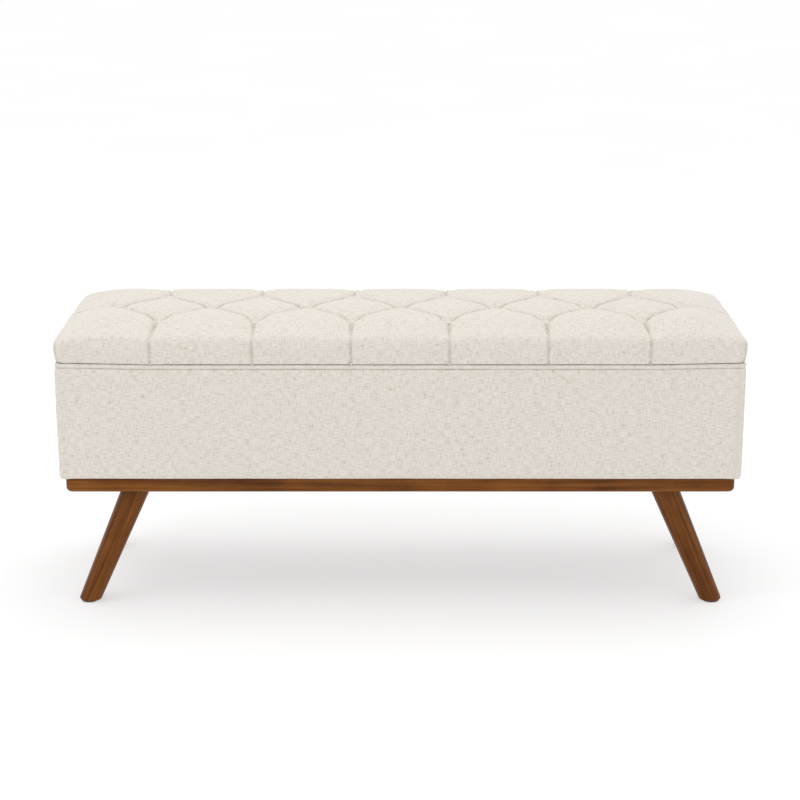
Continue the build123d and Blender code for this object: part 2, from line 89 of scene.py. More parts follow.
class Graph:
    """A material with one Principled shader and short ways to add nodes before it."""

    def __init__(self, name: str) -> None:
        """Starts an empty material.

        Args:
            name: The material's name.
        """
        self.material = bpy.data.materials.new(name)
        self.material.use_nodes = True
        self.tree = self.material.node_tree
        self.tree.nodes.clear()
        out = self.tree.nodes.new("ShaderNodeOutputMaterial")
        self.shader = self.tree.nodes.new("ShaderNodeBsdfPrincipled")
        self.tree.links.new(self.shader.outputs["BSDF"], out.inputs["Surface"])

    def add(self, kind: str, **settings: object) -> bpy.types.Node:
        """Adds a node and sets its own properties.

        Args:
            kind: The node's type without the ShaderNode prefix.
            **settings: Properties of the node.

        Returns:
            The new node.
        """
        node = self.tree.nodes.new(f"ShaderNode{kind}")
        for key, value in settings.items():
            setattr(node, key, value)
        return node

    def feed(self, socket: bpy.types.NodeSocket, value: object) -> None:
        """Links a socket to another one, or sets its value.

        Args:
            socket: The input to feed.
            value: An output socket, or a plain value.
        """
        if isinstance(value, bpy.types.NodeSocket):
            self.tree.links.new(value, socket)
        else:
            socket.default_value = value

    def cloth_place(self) -> bpy.types.NodeSocket:
        """Where a point is on the flat cloth, in metres."""
        return self.add("Attribute", attribute_name=CLOTH_PLACE).outputs["Vector"]

    def place(self) -> bpy.types.NodeSocket:
        """Where a point is on the object, in metres."""
        return self.add("TexCoord").outputs["Object"]

    def axes(self, place: bpy.types.NodeSocket) -> bpy.types.NodeOutputs:
        """Splits coordinates or a direction.

        Args:
            place: What is split.

        Returns:
            Its X, Y and Z.
        """
        split = self.add("SeparateXYZ")
        self.feed(split.inputs["Vector"], place)
        return split.outputs

    def stretch(self, place: bpy.types.NodeSocket, scale: Point,
                turn: Point = (0, 0, 0)) -> bpy.types.NodeSocket:
        """Turns and scales coordinates.

        Args:
            place: The coordinates.
            scale: Features per metre along each axis after the turn.
            turn: Euler angles in radians.

        Returns:
            The new coordinates.
        """
        turned = place
        if any(turn):
            rotate = self.add("VectorRotate", rotation_type="EULER_XYZ")
            self.feed(rotate.inputs["Vector"], place)
            rotate.inputs["Rotation"].default_value = turn
            turned = rotate.outputs["Vector"]
        node = self.add("Mapping")
        self.feed(node.inputs["Vector"], turned)
        node.inputs["Scale"].default_value = scale
        return node.outputs["Vector"]

    def noise(self, place: bpy.types.NodeSocket, detail: float = 2.0, rough: float = 0.5,
              warp: float = 0.0) -> bpy.types.NodeSocket:
        """Noise with features one unit across.

        Args:
            place: Where it is read.
            detail: How many finer layers it has.
            rough: How strong the finer layers are.
            warp: How far it is distorted.

        Returns:
            The noise, about 0.5 on average.
        """
        node = self.add("TexNoise")
        self.feed(node.inputs["Vector"], place)
        node.inputs["Scale"].default_value = 1.0
        node.inputs["Detail"].default_value = detail
        node.inputs["Roughness"].default_value = rough
        node.inputs["Distortion"].default_value = warp
        return node.outputs["Fac"]

    def sum(self, *parts: tuple[object, float]) -> bpy.types.NodeSocket:
        """Adds sockets, each times its own weight.

        Args:
            *parts: Pairs of a socket or a number and its weight.

        Returns:
            The sum.
        """
        total: object = 0.0
        for value, weight in parts:
            node = self.add("Math", operation="MULTIPLY_ADD")
            self.feed(node.inputs[0], value)
            node.inputs[1].default_value = weight
            self.feed(node.inputs[2], total)
            total = node.outputs[0]
        return total

    def work(self, operation: str, a: object, b: object = 0.0) -> bpy.types.NodeSocket:
        """One Math node.

        Args:
            operation: What it does.
            a: The first input.
            b: The second, where it has one.

        Returns:
            Its result.
        """
        node = self.add("Math", operation=operation)
        self.feed(node.inputs[0], a)
        self.feed(node.inputs[1], b)
        return node.outputs[0]

    def ramp(self, value: bpy.types.NodeSocket, *stops: tuple[float, Colour]) -> bpy.types.NodeSocket:
        """A colour that follows a value.

        Args:
            value: What it follows.
            *stops: Pairs of a value and the colour there, in order.

        Returns:
            The colour.
        """
        node = self.add("ValToRGB")
        self.feed(node.inputs["Fac"], value)
        bar = node.color_ramp.elements
        while len(bar) < len(stops):
            bar.new(0.5)
        for element, (at, colour) in zip(bar, stops):
            element.position = at
            element.color = (*colour, 1.0)
        return node.outputs["Color"]

    def blend(self, share: object, a: object, b: object, mode: str = "MIX") -> bpy.types.NodeSocket:
        """A mix of two colours.

        Args:
            share: How much of the second shows.
            a: The first colour.
            b: The second colour.
            mode: How the second is laid over the first.

        Returns:
            The mixed colour.
        """
        node = self.add("Mix", data_type="RGBA", blend_type=mode)
        self.feed(node.inputs["Factor"], share)
        self.feed(node.inputs["A"], a)
        self.feed(node.inputs["B"], b)
        return node.outputs["Result"]

    def bump(self, height: bpy.types.NodeSocket, depth: float, strength: float = 1.0,
             under: bpy.types.NodeSocket | None = None) -> bpy.types.NodeSocket:
        """A relief.

        Args:
            height: The relief, from 0 to 1.
            depth: Its depth in metres.
            strength: How much of it shows.
            under: A normal that it lies on.

        Returns:
            The normal.
        """
        node = self.add("Bump")
        self.feed(node.inputs["Height"], height)
        node.inputs["Distance"].default_value = depth
        node.inputs["Strength"].default_value = strength
        if under is not None:
            self.feed(node.inputs["Normal"], under)
        return node.outputs["Normal"]

    def finish(self, **sockets: object) -> bpy.types.Material:
        """Sets the shader's sockets and returns the material.

        Args:
            **sockets: Values or sockets by the shader's own names, with _ for a space.

        Returns:
            The material.
        """
        for key, value in sockets.items():
            self.feed(self.shader.inputs[key.replace("_", " ")], value)
        return self.material


def per_mm(along: float, across: float, depth: float = 1.0) -> Point:
    """Coordinates' scale for features of these sizes in millimetres."""
    return (1 / (along * MM), 1 / (across * MM), 1 / (depth * MM))


# ---------------------------------------------------------------- finishes


@dataclass(frozen=True)
class Linen:
    """Slubby linen-look upholstery cloth: thick and thin threads both ways in cream and flax.

    Thread sizes are in millimetres.
    """

    cream: Colour = (0.742, 0.704, 0.648)
    oat: Colour = (0.616, 0.568, 0.500)
    flax: Colour = (0.330, 0.272, 0.212)
    thread: float = 1.15
    thread_long: float = 7.0
    slub_long: float = 13.0
    slub_thick: float = 1.25
    cloud_size: float = 55.0

    def make(self, name: str = "linen") -> bpy.types.Material:
        """Builds the material.

        Args:
            name: The material's name.

        Returns:
            The material.
        """
        g = Graph(name)
        place = g.cloth_place()
        weft = g.noise(g.stretch(place, per_mm(self.slub_long, self.slub_thick)), 1.0, 0.5)
        warp = g.noise(g.stretch(place, per_mm(self.slub_thick, self.slub_long)), 1.0, 0.5)
        fine_weft = g.noise(g.stretch(place, per_mm(self.thread_long, self.thread)), 1.5, 0.6)
        fine_warp = g.noise(g.stretch(place, per_mm(self.thread, self.thread_long)), 1.5, 0.6)
        cloud = g.noise(g.stretch(place, per_mm(self.cloud_size, self.cloud_size)), 3.0, 0.55)
        thick = g.work("MAXIMUM", weft, warp)
        thin = g.work("MINIMUM", fine_weft, fine_warp)
        tone = g.sum((weft, 0.48), (warp, 0.40), (thin, 0.28), (cloud, 0.05), (1.0, -0.095))
        colour = g.ramp(tone, (0.22, self.flax), (0.41, self.oat), (0.58, self.cream))
        over = self.ribs(g, place)
        height = g.sum((over, 0.45), (thick, 0.55), (thin, 0.4))
        return g.finish(
            Base_Color=colour,
            Roughness=0.92,
            Specular_IOR_Level=0.25,
            Sheen_Weight=0.35,
            Sheen_Roughness=0.45,
            Sheen_Tint=(1.0, 0.97, 0.92, 1.0),
            Normal=g.bump(height, 0.45 * MM, 0.55),
        )

    def ribs(self, g: Graph, place: bpy.types.NodeSocket) -> bpy.types.NodeSocket:
        """The over-and-under of plain weave: two sets of thread ribs that take turns on top.

        Args:
            g: The material's graph.
            place: Where a point is on the cloth.

        Returns:
            The ribs' height, from 0 to 1.
        """
        flat = g.axes(place)
        turns = math.pi / (self.thread * MM)
        a = g.work("SINE", g.work("MULTIPLY", flat["X"], turns))
        b = g.work("SINE", g.work("MULTIPLY", flat["Y"], turns))
        return g.sum((g.work("MULTIPLY", a, b), 0.5), (1.0, 0.5))


class Grain(Enum):
    """Which way the grain of a piece of wood runs, as Euler angles that bring it onto X."""

    ALONG_LENGTH = (0.0, 0.0, 0.0)
    ALONG_DEPTH = (0.0, 0.0, -math.pi / 2)
    UPRIGHT = (0.0, math.pi / 2, 0.0)
    RIGHT_LEG = (0.0, math.pi / 2 + LEG_SPLAY, 0.0)
    LEFT_LEG = (0.0, math.pi / 2 - LEG_SPLAY, 0.0)


@dataclass(frozen=True)
class Walnut:
    """Beech or poplar stained walnut, with a satin lacquer over its grain and pores.

    The grain's features have sizes in millimetres, along it and both ways across.
    """

    dark: Colour = (0.066, 0.0185, 0.0022)
    middle: Colour = (0.150, 0.0480, 0.0060)
    light: Colour = (0.245, 0.0880, 0.0140)
    coat: float = 0.38
    gloss: float = 0.12
    figure: Point = (240, 11, 9)
    bands: Point = (420, 4.2, 3.6)
    pores: Point = (16, 0.55, 0.55)
    stain: Point = (60, 45, 45)

    def make(self, name: str, grain: Grain) -> bpy.types.Material:
        """Builds the material.

        Args:
            name: The material's name.
            grain: Which way the grain runs.

        Returns:
            The material.
        """
        g = Graph(name)
        place = g.place()
        figure = g.noise(g.stretch(place, per_mm(*self.figure), grain.value), 4.0, 0.55, 0.6)
        bands = g.noise(g.stretch(place, per_mm(*self.bands), grain.value), 2.0, 0.5, 0.2)
        pores = g.noise(g.stretch(place, per_mm(*self.pores), grain.value), 2.0, 0.6)
        stain = g.noise(g.stretch(place, per_mm(*self.stain), grain.value), 2.0, 0.5)
        tone = g.sum((figure, 0.62), (bands, 0.50), (stain, 0.30), (1.0, -0.21))
        colour = g.ramp(tone, (0.30, self.dark), (0.50, self.middle), (0.72, self.light))
        pitted = g.ramp(pores, (0.30, (0.45, 0.40, 0.36)), (0.42, (1.0, 1.0, 1.0)))
        return g.finish(
            Base_Color=g.blend(0.8, colour, pitted, "MULTIPLY"),
            Roughness=g.sum((figure, 0.16), (1.0, 0.30)),
            Specular_IOR_Level=0.03,
            Coat_Weight=self.coat,
            Coat_Roughness=self.gloss,
            Coat_IOR=1.35,
            Normal=g.bump(g.sum((pores, 0.5), (bands, 0.3)), 0.12 * MM, 0.35),
        )


@dataclass(frozen=True)
class BareWood:
    """Unfinished timber: the face of plywood or sawn pine, with its edge plies where it has them."""

    early: Colour
    late: Colour
    ply: float = 0.0
    rings: Point = (260, 14, 14)
    fibre: Point = (24, 0.8, 0.8)

    def make(self, name: str, grain: Grain, edge_axis: int = 2) -> bpy.types.Material:
        """Builds the material.

        Args:
            name: The material's name.
            grain: Which way the face grain runs.
            edge_axis: The axis across the plies, 0 to 2.

        Returns:
            The material.
        """
        g = Graph(name)
        place = g.place()
        rings = g.noise(g.stretch(place, per_mm(*self.rings), grain.value), 3.0, 0.55, 0.8)
        fibre = g.noise(g.stretch(place, per_mm(*self.fibre), grain.value), 2.0, 0.6)
        tone = g.sum((rings, 0.85), (fibre, 0.3), (1.0, -0.08))
        colour = g.ramp(tone, (0.36, self.late), (0.62, self.early))
        if self.ply:
            wave = g.work("MULTIPLY", g.axes(place)[edge_axis], math.pi / (self.ply * MM))
            layers = g.work("GREATER_THAN", g.work("SINE", wave), 0.0)
            shaded = g.blend(1.0, colour, tuple(0.62 * c for c in self.late) + (1.0,))
            colour = g.blend(g.work("MULTIPLY", layers, self.on_edge(g, edge_axis)), colour, shaded)
        return g.finish(
            Base_Color=colour,
            Roughness=g.sum((fibre, 0.2), (1.0, 0.62)),
            Specular_IOR_Level=0.3,
            Normal=g.bump(fibre, 0.15 * MM, 0.5),
        )

    def on_edge(self, g: Graph, axis: int) -> bpy.types.NodeSocket:
        """1 where the surface is an edge of the board, and 0 on its faces."""
        facing = g.axes(g.add("TexCoord").outputs["Normal"])[axis]
        return g.work("LESS_THAN", g.work("ABSOLUTE", facing), 0.5)


@dataclass(frozen=True)
class BoxCloth:
    """Plain polyester lining cloth with a fine weave and a faint mottle."""

    light: Colour
    dark: Colour
    thread: float = 0.6
    sheen: float = 0.2
    speck: float = 1.1
    mottle: float = 40.0

    def make(self, name: str) -> bpy.types.Material:
        """Builds the material.

        Args:
            name: The material's name.

        Returns:
            The material.
        """
        g = Graph(name)
        place = g.place()
        speck = g.noise(g.stretch(place, per_mm(*[self.speck] * 3)), 2.0, 0.6)
        mottle = g.noise(g.stretch(place, per_mm(*[self.mottle] * 3)), 3.0, 0.5)
        colour = g.ramp(g.sum((speck, 0.84), (mottle, 0.16)), (0.36, self.dark), (0.64, self.light))
        weave = g.noise(g.stretch(place, per_mm(*[self.thread] * 3)), 1.0, 0.5)
        return g.finish(
            Base_Color=colour,
            Roughness=0.9,
            Specular_IOR_Level=0.25,
            Sheen_Weight=self.sheen,
            Sheen_Roughness=0.5,
            Normal=g.bump(weave, 0.3 * MM, 0.5),
        )


@dataclass(frozen=True)
class BondedCloth:
    """Black spunbond cloth with its grid of heat-bond dimples."""

    pitch: float = 2.4

    def make(self, name: str) -> bpy.types.Material:
        """Builds the material.

        Args:
            name: The material's name.

        Returns:
            The material.
        """
        g = Graph(name)
        place = g.place()
        dots = g.add("TexVoronoi", feature="F1")
        g.feed(dots.inputs["Vector"], g.stretch(place, per_mm(self.pitch, self.pitch, 40.0)))
        dots.inputs["Scale"].default_value = 1.0
        dots.inputs["Randomness"].default_value = 0.15
        fibre = g.noise(g.stretch(place, per_mm(0.5, 4.0, 4.0)), 3.0, 0.7)
        shade = g.sum((dots.outputs["Distance"], 0.7), (fibre, 0.6))
        return g.finish(
            Base_Color=g.ramp(shade, (0.3, (0.010, 0.010, 0.011)), (0.9, (0.040, 0.040, 0.042))),
            Roughness=0.8,
            Specular_IOR_Level=0.3,
            Sheen_Weight=0.15,
            Normal=g.bump(shade, 0.25 * MM, 0.6),
        )


@dataclass(frozen=True)
class Metal:
    """Plated, brushed or powder-coated steel."""

    light: Colour
    dark: Colour
    metallic: float = 1.0
    rough: float = 0.32
    brush: Point = (1.0, 1.0, 1.0)
    relief: float = 0.03
    coat: float = 0.0
    smudge: float = 18.0

    def make(self, name: str) -> bpy.types.Material:
        """Builds the material.

        Args:
            name: The material's name.

        Returns:
            The material.
        """
        g = Graph(name)
        place = g.place()
        lines = g.noise(g.stretch(place, tuple(1000.0 / b for b in self.brush)), 3.0, 0.6)
        smudge = g.noise(g.stretch(place, per_mm(*[self.smudge] * 3)), 3.0, 0.55)
        colour = g.ramp(g.sum((lines, 0.5), (smudge, 0.5)), (0.38, self.dark), (0.62, self.light))
        return g.finish(
            Base_Color=colour,
            Metallic=self.metallic,
            Roughness=g.sum((smudge, 0.18), (lines, 0.08), (1.0, self.rough - 0.13)),
            Coat_Weight=self.coat,
            Normal=g.bump(lines, self.relief * MM, 0.6),
        )


@dataclass(frozen=True)
class Moulded:
    """Moulded rubber, plastic or foam with a fine texture."""

    light: Colour
    dark: Colour
    grain: float = 0.6
    rough: float = 0.6
    relief: float = 0.1
    cloud: float = 30.0

    def make(self, name: str) -> bpy.types.Material:
        """Builds the material.

        Args:
            name: The material's name.

        Returns:
            The material.
        """
        g = Graph(name)
        pits = g.noise(g.stretch(g.place(), per_mm(*[self.grain] * 3)), 3.0, 0.65)
        cloud = g.noise(g.stretch(g.place(), per_mm(*[self.cloud] * 3)), 2.0, 0.5)
        return g.finish(
            Base_Color=g.ramp(g.sum((pits, 0.6), (cloud, 0.4)), (0.38, self.dark), (0.62, self.light)),
            Roughness=g.sum((pits, 0.2), (1.0, self.rough - 0.1)),
            Specular_IOR_Level=0.4,
            Normal=g.bump(pits, self.relief * MM, 0.6),
        )


class Palette:
    """Every material of the bench, made once."""

    def __init__(self) -> None:
        """Builds the materials."""
        walnut = Walnut()
        ply = BareWood((0.72, 0.54, 0.34), (0.50, 0.33, 0.18), ply=1.5)
        pine = BareWood((0.78, 0.60, 0.36), (0.58, 0.37, 0.17))
        self.linen = Linen().make()
        self.walnut_long = walnut.make("walnut_long", Grain.ALONG_LENGTH)
        self.walnut_deep = walnut.make("walnut_deep", Grain.ALONG_DEPTH)
        self.walnut_left = walnut.make("walnut_left_leg", Grain.LEFT_LEG)
        self.walnut_right = walnut.make("walnut_right_leg", Grain.RIGHT_LEG)
        self.ply_front = ply.make("plywood_front", Grain.ALONG_LENGTH, 1)
        self.ply_end = ply.make("plywood_end", Grain.ALONG_DEPTH, 0)
        self.ply_flat = ply.make("plywood_flat", Grain.ALONG_LENGTH, 2)
        self.pine_long = pine.make("pine_long", Grain.ALONG_LENGTH)
        self.pine_deep = pine.make("pine_deep", Grain.ALONG_DEPTH)
        self.pine_up = pine.make("pine_upright", Grain.UPRIGHT)
        self.lining = BoxCloth((0.115, 0.110, 0.104), (0.060, 0.057, 0.054)).make("lining_cloth")
        self.dust = BondedCloth().make("dust_cloth")
        self.foam = Moulded((0.80, 0.74, 0.55), (0.68, 0.60, 0.42), 1.2, 0.95, 0.6).make("foam")
        self.wadding = Moulded((0.86, 0.86, 0.84), (0.72, 0.72, 0.70), 2.5, 0.95, 0.8).make("wadding")
        self.twine = Moulded((0.72, 0.66, 0.54), (0.50, 0.44, 0.34), 0.5, 0.85, 0.2).make("twine")
        self.rubber = Moulded((0.045, 0.045, 0.045), (0.022, 0.022, 0.022), 0.5, 0.65, 0.05).make("rubber")
        self.plastic = Moulded((0.060, 0.060, 0.062), (0.035, 0.035, 0.036), 0.4, 0.5, 0.04).make("glides")
        self.zinc = Metal((0.66, 0.65, 0.62), (0.46, 0.46, 0.45), rough=0.34).make("zinc_plate")
        self.hinge = Metal((0.70, 0.68, 0.64), (0.50, 0.49, 0.47), brush=(20, 0.3, 0.3)).make("hinge_steel")
        self.black = Metal(
            (0.055, 0.055, 0.058), (0.030, 0.030, 0.032), 0.2, 0.42, (0.5, 0.5, 0.5), 0.04, 0.2
        ).make("stay_black")


# ---------------------------------------------------------------- mesh helpers


def piece(name: str, points: np.ndarray, faces: Faces, material: bpy.types.Material,
          sharp: float = 40.0) -> bpy.types.Object:
    """Makes a smooth-shaded mesh object.

    Args:
        name: The piece's name.
        points: Its vertices.
        faces: Its faces, counter-clockwise from outside.
        material: Its material.
        sharp: The angle in degrees past which an edge shades sharp.

    Returns:
        The new object.
    """
    mesh = bpy.data.meshes.new(name)
    mesh.from_pydata([tuple(p) for p in points], [], faces)
    mesh.materials.append(material)
    mesh.shade_smooth()
    mesh.set_sharp_from_angle(angle=math.radians(sharp))
    obj = bpy.data.objects.new(name, mesh)
    bpy.context.scene.collection.objects.link(obj)
    return obj


def lay_cloth(obj: bpy.types.Object, places: np.ndarray) -> None:
    """Writes where each face corner is on the flat cloth.

    Args:
        obj: A mesh object.
        places: One place for each face corner, in metres.
    """
    flat = np.zeros((len(obj.data.loops), 3), np.float32)
    flat[:, :2] = places
    layer = obj.data.attributes.new(CLOTH_PLACE, "FLOAT_VECTOR", "CORNER")
    layer.data.foreach_set("vector", flat.ravel())


def lay_cloth_by_point(obj: bpy.types.Object, places: np.ndarray) -> None:
    """Writes where each vertex is on the flat cloth, to all its face corners.

    Args:
        obj: A mesh object.
        places: One place for each vertex, in metres.
    """
    corner = np.zeros(len(obj.data.loops), np.int64)
    obj.data.loops.foreach_get("vertex_index", corner)
    lay_cloth(obj, places[corner])


def vectors_of(items: bpy.types.bpy_prop_collection, name: str) -> np.ndarray:
    """One vector of every item in a mesh's list, as rows.

    Args:
        items: The list.
        name: What the vector is called there.

    Returns:
        The vectors.
    """
    out = np.zeros(len(items) * 3)
    items.foreach_get(name, out)
    return out.reshape(-1, 3)


def points_of(mesh: bpy.types.Mesh) -> np.ndarray:
    """A mesh's vertices as an array."""
    return vectors_of(mesh.vertices, "co")


def normals_of(mesh: bpy.types.Mesh) -> np.ndarray:
    """A mesh's vertex normals as an array."""
    return vectors_of(mesh.vertex_normals, "vector")


def move_points(mesh: bpy.types.Mesh, co: np.ndarray) -> None:
    """Writes a mesh's vertices back."""
    mesh.vertices.foreach_set("co", co.ravel())
    mesh.update()


def subdivide(obj: bpy.types.Object) -> None:
    """Subdivides an object's mesh once, smoothly and for good, keeping creased edges sharp.

    Args:
        obj: A mesh object.
    """
    bend = obj.modifiers.new("smooth", "SUBSURF")
    bend.levels = bend.render_levels = 1
    apply_modifiers(obj)


def crease(obj: bpy.types.Object, kept: np.ndarray) -> None:
    """Keeps the edges between kept points sharp when the mesh is smoothed.

    Args:
        obj: A mesh object.
        kept: Whether each vertex is on a crease.
    """
    mesh = obj.data
    ends = np.zeros(len(mesh.edges) * 2, np.int64)
    mesh.edges.foreach_get("vertices", ends)
    layer = mesh.attributes.new(CREASE, "FLOAT", "EDGE")
    layer.data.foreach_set("value", kept[ends.reshape(-1, 2)].all(1).astype(np.float32))


def apply_modifiers(obj: bpy.types.Object) -> None:
    """Replaces an object's mesh with what its modifiers make of it.

    Args:
        obj: A mesh object.
    """
    graph = bpy.context.evaluated_depsgraph_get()
    made = bpy.data.meshes.new_from_object(obj.evaluated_get(graph), depsgraph=graph)
    obj.modifiers.clear()
    old, obj.data = obj.data, made
    bpy.data.meshes.remove(old)


def islands(obj: bpy.types.Object) -> list[np.ndarray]:
    """Sorts a node's vertices by the separate solid that each is on.

    Args:
        obj: The node.

    Returns:
        Each solid's vertices, row by row from the front and from left to right.
    """
    mesh = obj.data
    co = points_of(mesh)
    # vertices are split at hard edges, so those in the same place are joined first
    _, same = np.unique(np.round(co, 6), axis=0, return_inverse=True)
    same = same.ravel()
    parent = np.arange(same.max() + 1)

    def root(a: int) -> int:
        """The vertex that stands for all those joined to this one."""
        while parent[a] != a:
            parent[a] = parent[parent[a]]
            a = parent[a]
        return a

    for edge in mesh.edges:
        a, b = (root(same[v]) for v in edge.vertices)
        if a != b:
            parent[a] = b
    roots = np.array([root(s) for s in same])
    groups = [co[roots == r] for r in np.unique(roots)]
    return sorted(groups, key=lambda g: [round(float(g[:, axis].mean()), 3) for axis in (1, 0)])


def walked_along(path: np.ndarray) -> np.ndarray:
    """How far along a path each of its points is."""
    return np.concatenate([[0], np.cumsum(np.linalg.norm(np.diff(path, axis=0), axis=1))])


def cord(path: np.ndarray, radius: float, sides: int) -> tuple[np.ndarray, Faces, np.ndarray]:
    """A round cord that stays upright along a nearly level loop.

    Args:
        path: Points along its middle, of which the last joins the first.
        radius: The cord's radius.
        sides: Points round the cord.

    Returns:
        Its points, its faces, and each point's place on the cloth: along it and round it.
    """
    count = len(path)
    ahead = np.roll(path, -1, 0) - np.roll(path, 1, 0)
    ahead /= np.linalg.norm(ahead, axis=1)[:, None]
    out = np.stack([ahead[:, 1], -ahead[:, 0], np.zeros(count)], 1)
    out /= np.linalg.norm(out, axis=1)[:, None]
    up = np.cross(out, ahead)
    angle = np.arange(sides) * math.tau / sides
    ring = out[:, None] * np.cos(angle)[None, :, None] + up[:, None] * np.sin(angle)[None, :, None]
    points = (path[:, None] + radius * ring).reshape(-1, 3)
    run = walked_along(path)
    places = np.stack(np.meshgrid(run, angle * radius, indexing="ij"), -1).reshape(-1, 2)
    faces: Faces = []
    for i in range(count):
        here, there = i * sides, ((i + 1) % count) * sides
        for k in range(sides):
            q = (k + 1) % sides
            faces.append((here + k, there + k, there + q, here + q))
    return points, faces, places


def ease(x: np.ndarray | float) -> np.ndarray | float:
    """A smooth step from 0 to 1."""
    x = np.clip(x, 0.0, 1.0)
    return x * x * (3 - 2 * x)


class Ripple:
    """Smooth, repeatable unevenness: a few sine waves with mixed lengths and seeded phases."""

    def __init__(self, seed: int, longest: float, shortest: float, waves: int = 7) -> None:
        """Draws the waves.

        Args:
            seed: The same seed gives the same waves.
            longest: The longest wavelength in metres.
            shortest: The shortest.
            waves: How many are added.
        """
        rng = np.random.default_rng(seed)
        length = np.geomspace(longest, shortest, waves)
        turn = rng.uniform(0, math.tau, waves)
        self.k = np.stack([np.cos(turn), np.sin(turn)], 1) * (math.tau / length)[:, None]
        self.phase = rng.uniform(0, math.tau, waves)
        self.weight = (length / longest) ** 0.6
        self.weight /= self.weight.sum()

    def __call__(self, a: np.ndarray, b: np.ndarray | float = 0.0) -> np.ndarray:
        """The ripple's height at places on a surface.

        Args:
            a: How far along each place is.
            b: How far across.

        Returns:
            The heights, from about -1 to 1.
        """
        total = np.zeros_like(a, dtype=float)
        for (ka, kb), phase, weight in zip(self.k, self.phase, self.weight):
            total += weight * np.sin(ka * a + kb * b + phase)
        return 1.6 * total


# ---------------------------------------------------------------- rounded boxes of cloth


@dataclass
class Wrap:
    """Cloth wrapped over a box: its lattice, and each lattice point's place, facing and flat place."""

    xs: np.ndarray
    ys: np.ndarray
    drop: np.ndarray
    corner: float
    roll: float
    points: np.ndarray = field(init=False)
    facing: np.ndarray = field(init=False)
    lattice: np.ndarray = field(init=False)
    faces: Faces = field(init=False)
    walls: list[int] = field(init=False)

    def __post_init__(self) -> None:
        """Lays out the lattice and rounds it."""
        self.lattice, self.faces, self.walls = self._net()
        self.points, self.facing = self._rounded()

    def _net(self) -> tuple[np.ndarray, Faces, list[int]]:
        """The lattice points, the quads between them, and which side each quad is on.

        Returns:
            Points as (i, j, k), where k counts down from the top; quads; and 0 for the top,
            1 for a long wall and 2 for an end wall.
        """
        nx, ny, nz = len(self.xs) - 1, len(self.ys) - 1, len(self.drop) - 1
        index: dict[tuple[int, int, int], int] = {}
        faces: Faces = []
        walls: list[int] = []

        def at(i: int, j: int, k: int) -> int:
            """The number of a lattice point."""
            return index.setdefault((i, j, k), len(index))

        for i in range(nx):
            for j in range(ny):
                faces.append((at(i, j, 0), at(i + 1, j, 0), at(i + 1, j + 1, 0), at(i, j + 1, 0)))
                walls.append(0)
        ring = [(i, 0) for i in range(nx)] + [(nx, j) for j in range(ny)]
        ring += [(i, ny) for i in range(nx, 0, -1)] + [(0, j) for j in range(ny, 0, -1)]
        for a, b in zip(ring, ring[1:] + ring[:1]):
            side = 1 if a[1] == b[1] else 2
            for k in range(nz):
                faces.append((at(*a, k + 1), at(*b, k + 1), at(*b, k), at(*a, k)))
                walls.append(side)
        return np.array(list(index)), faces, walls

    def _rounded(self) -> tuple[np.ndarray, np.ndarray]:
        """Rounds the upright corners and rolls the top edge over.

        Returns:
            Each point, with z counted down from the top plane, and the way it faces.
        """
        i, j, k = self.lattice.T
        flat = np.stack([self.xs[i], self.ys[j]], 1)
        half = np.array([self.xs[-1], self.ys[-1]])
        inset = np.min(half - np.abs(flat), axis=1)
        core = np.clip(flat, -(half - self.corner), half - self.corner)
        off = flat - core
        far, long = np.abs(off).max(1), np.linalg.norm(off, axis=1)
        flat = core + off * np.where(long > 0, far / np.maximum(long, 1e-9), 0)[:, None]
        to_end, to_front = (half - np.abs(core)).T
        nearest = np.stack([to_end < to_front, to_end >= to_front], 1)
        round_corner = off / np.maximum(long, 1e-9)[:, None]
        out = np.where((long > 0)[:, None], round_corner, np.sign(core) * nearest)
        down = self.drop[k]
        ra, rb = np.maximum(0, self.roll - inset), np.maximum(0, self.roll - down)
        size = np.maximum(np.hypot(ra, rb), 1e-9)
        da, db = ra * self.roll / size, rb * self.roll / size
        shift = np.where(ra > 0, da - ra, 0.0)
        sink = np.where((rb > 0) & (down < self.roll), self.roll - db, down)
        flat = flat + out * shift[:, None]
        up = np.where(down < self.roll, db / self.roll, 0.0)
        facing = np.concatenate([out * np.sqrt(np.maximum(0, 1 - up**2))[:, None], up[:, None]], 1)
        return np.concatenate([flat, -sink[:, None]], 1), facing

    def cloth(self, faces: Faces, walls: list[int]) -> np.ndarray:
        """Unfolds the cloth from the top over every edge.

        Args:
            faces: The faces laid out.
            walls: Which side each is on, as _net says.

        Returns:
            Each face corner's place on the flat cloth.
        """
        places = []
        for face, side in zip(faces, walls):
            for v in face:
                i, j, k = self.lattice[v]
                x, y, down = self.xs[i], self.ys[j], self.drop[k]
                if side == 1:
                    y += math.copysign(down, y)
                elif side == 2:
                    x += math.copysign(down, x)
                places.append((x, y))
        return np.array(places)


# ---------------------------------------------------------------- the hinges' room


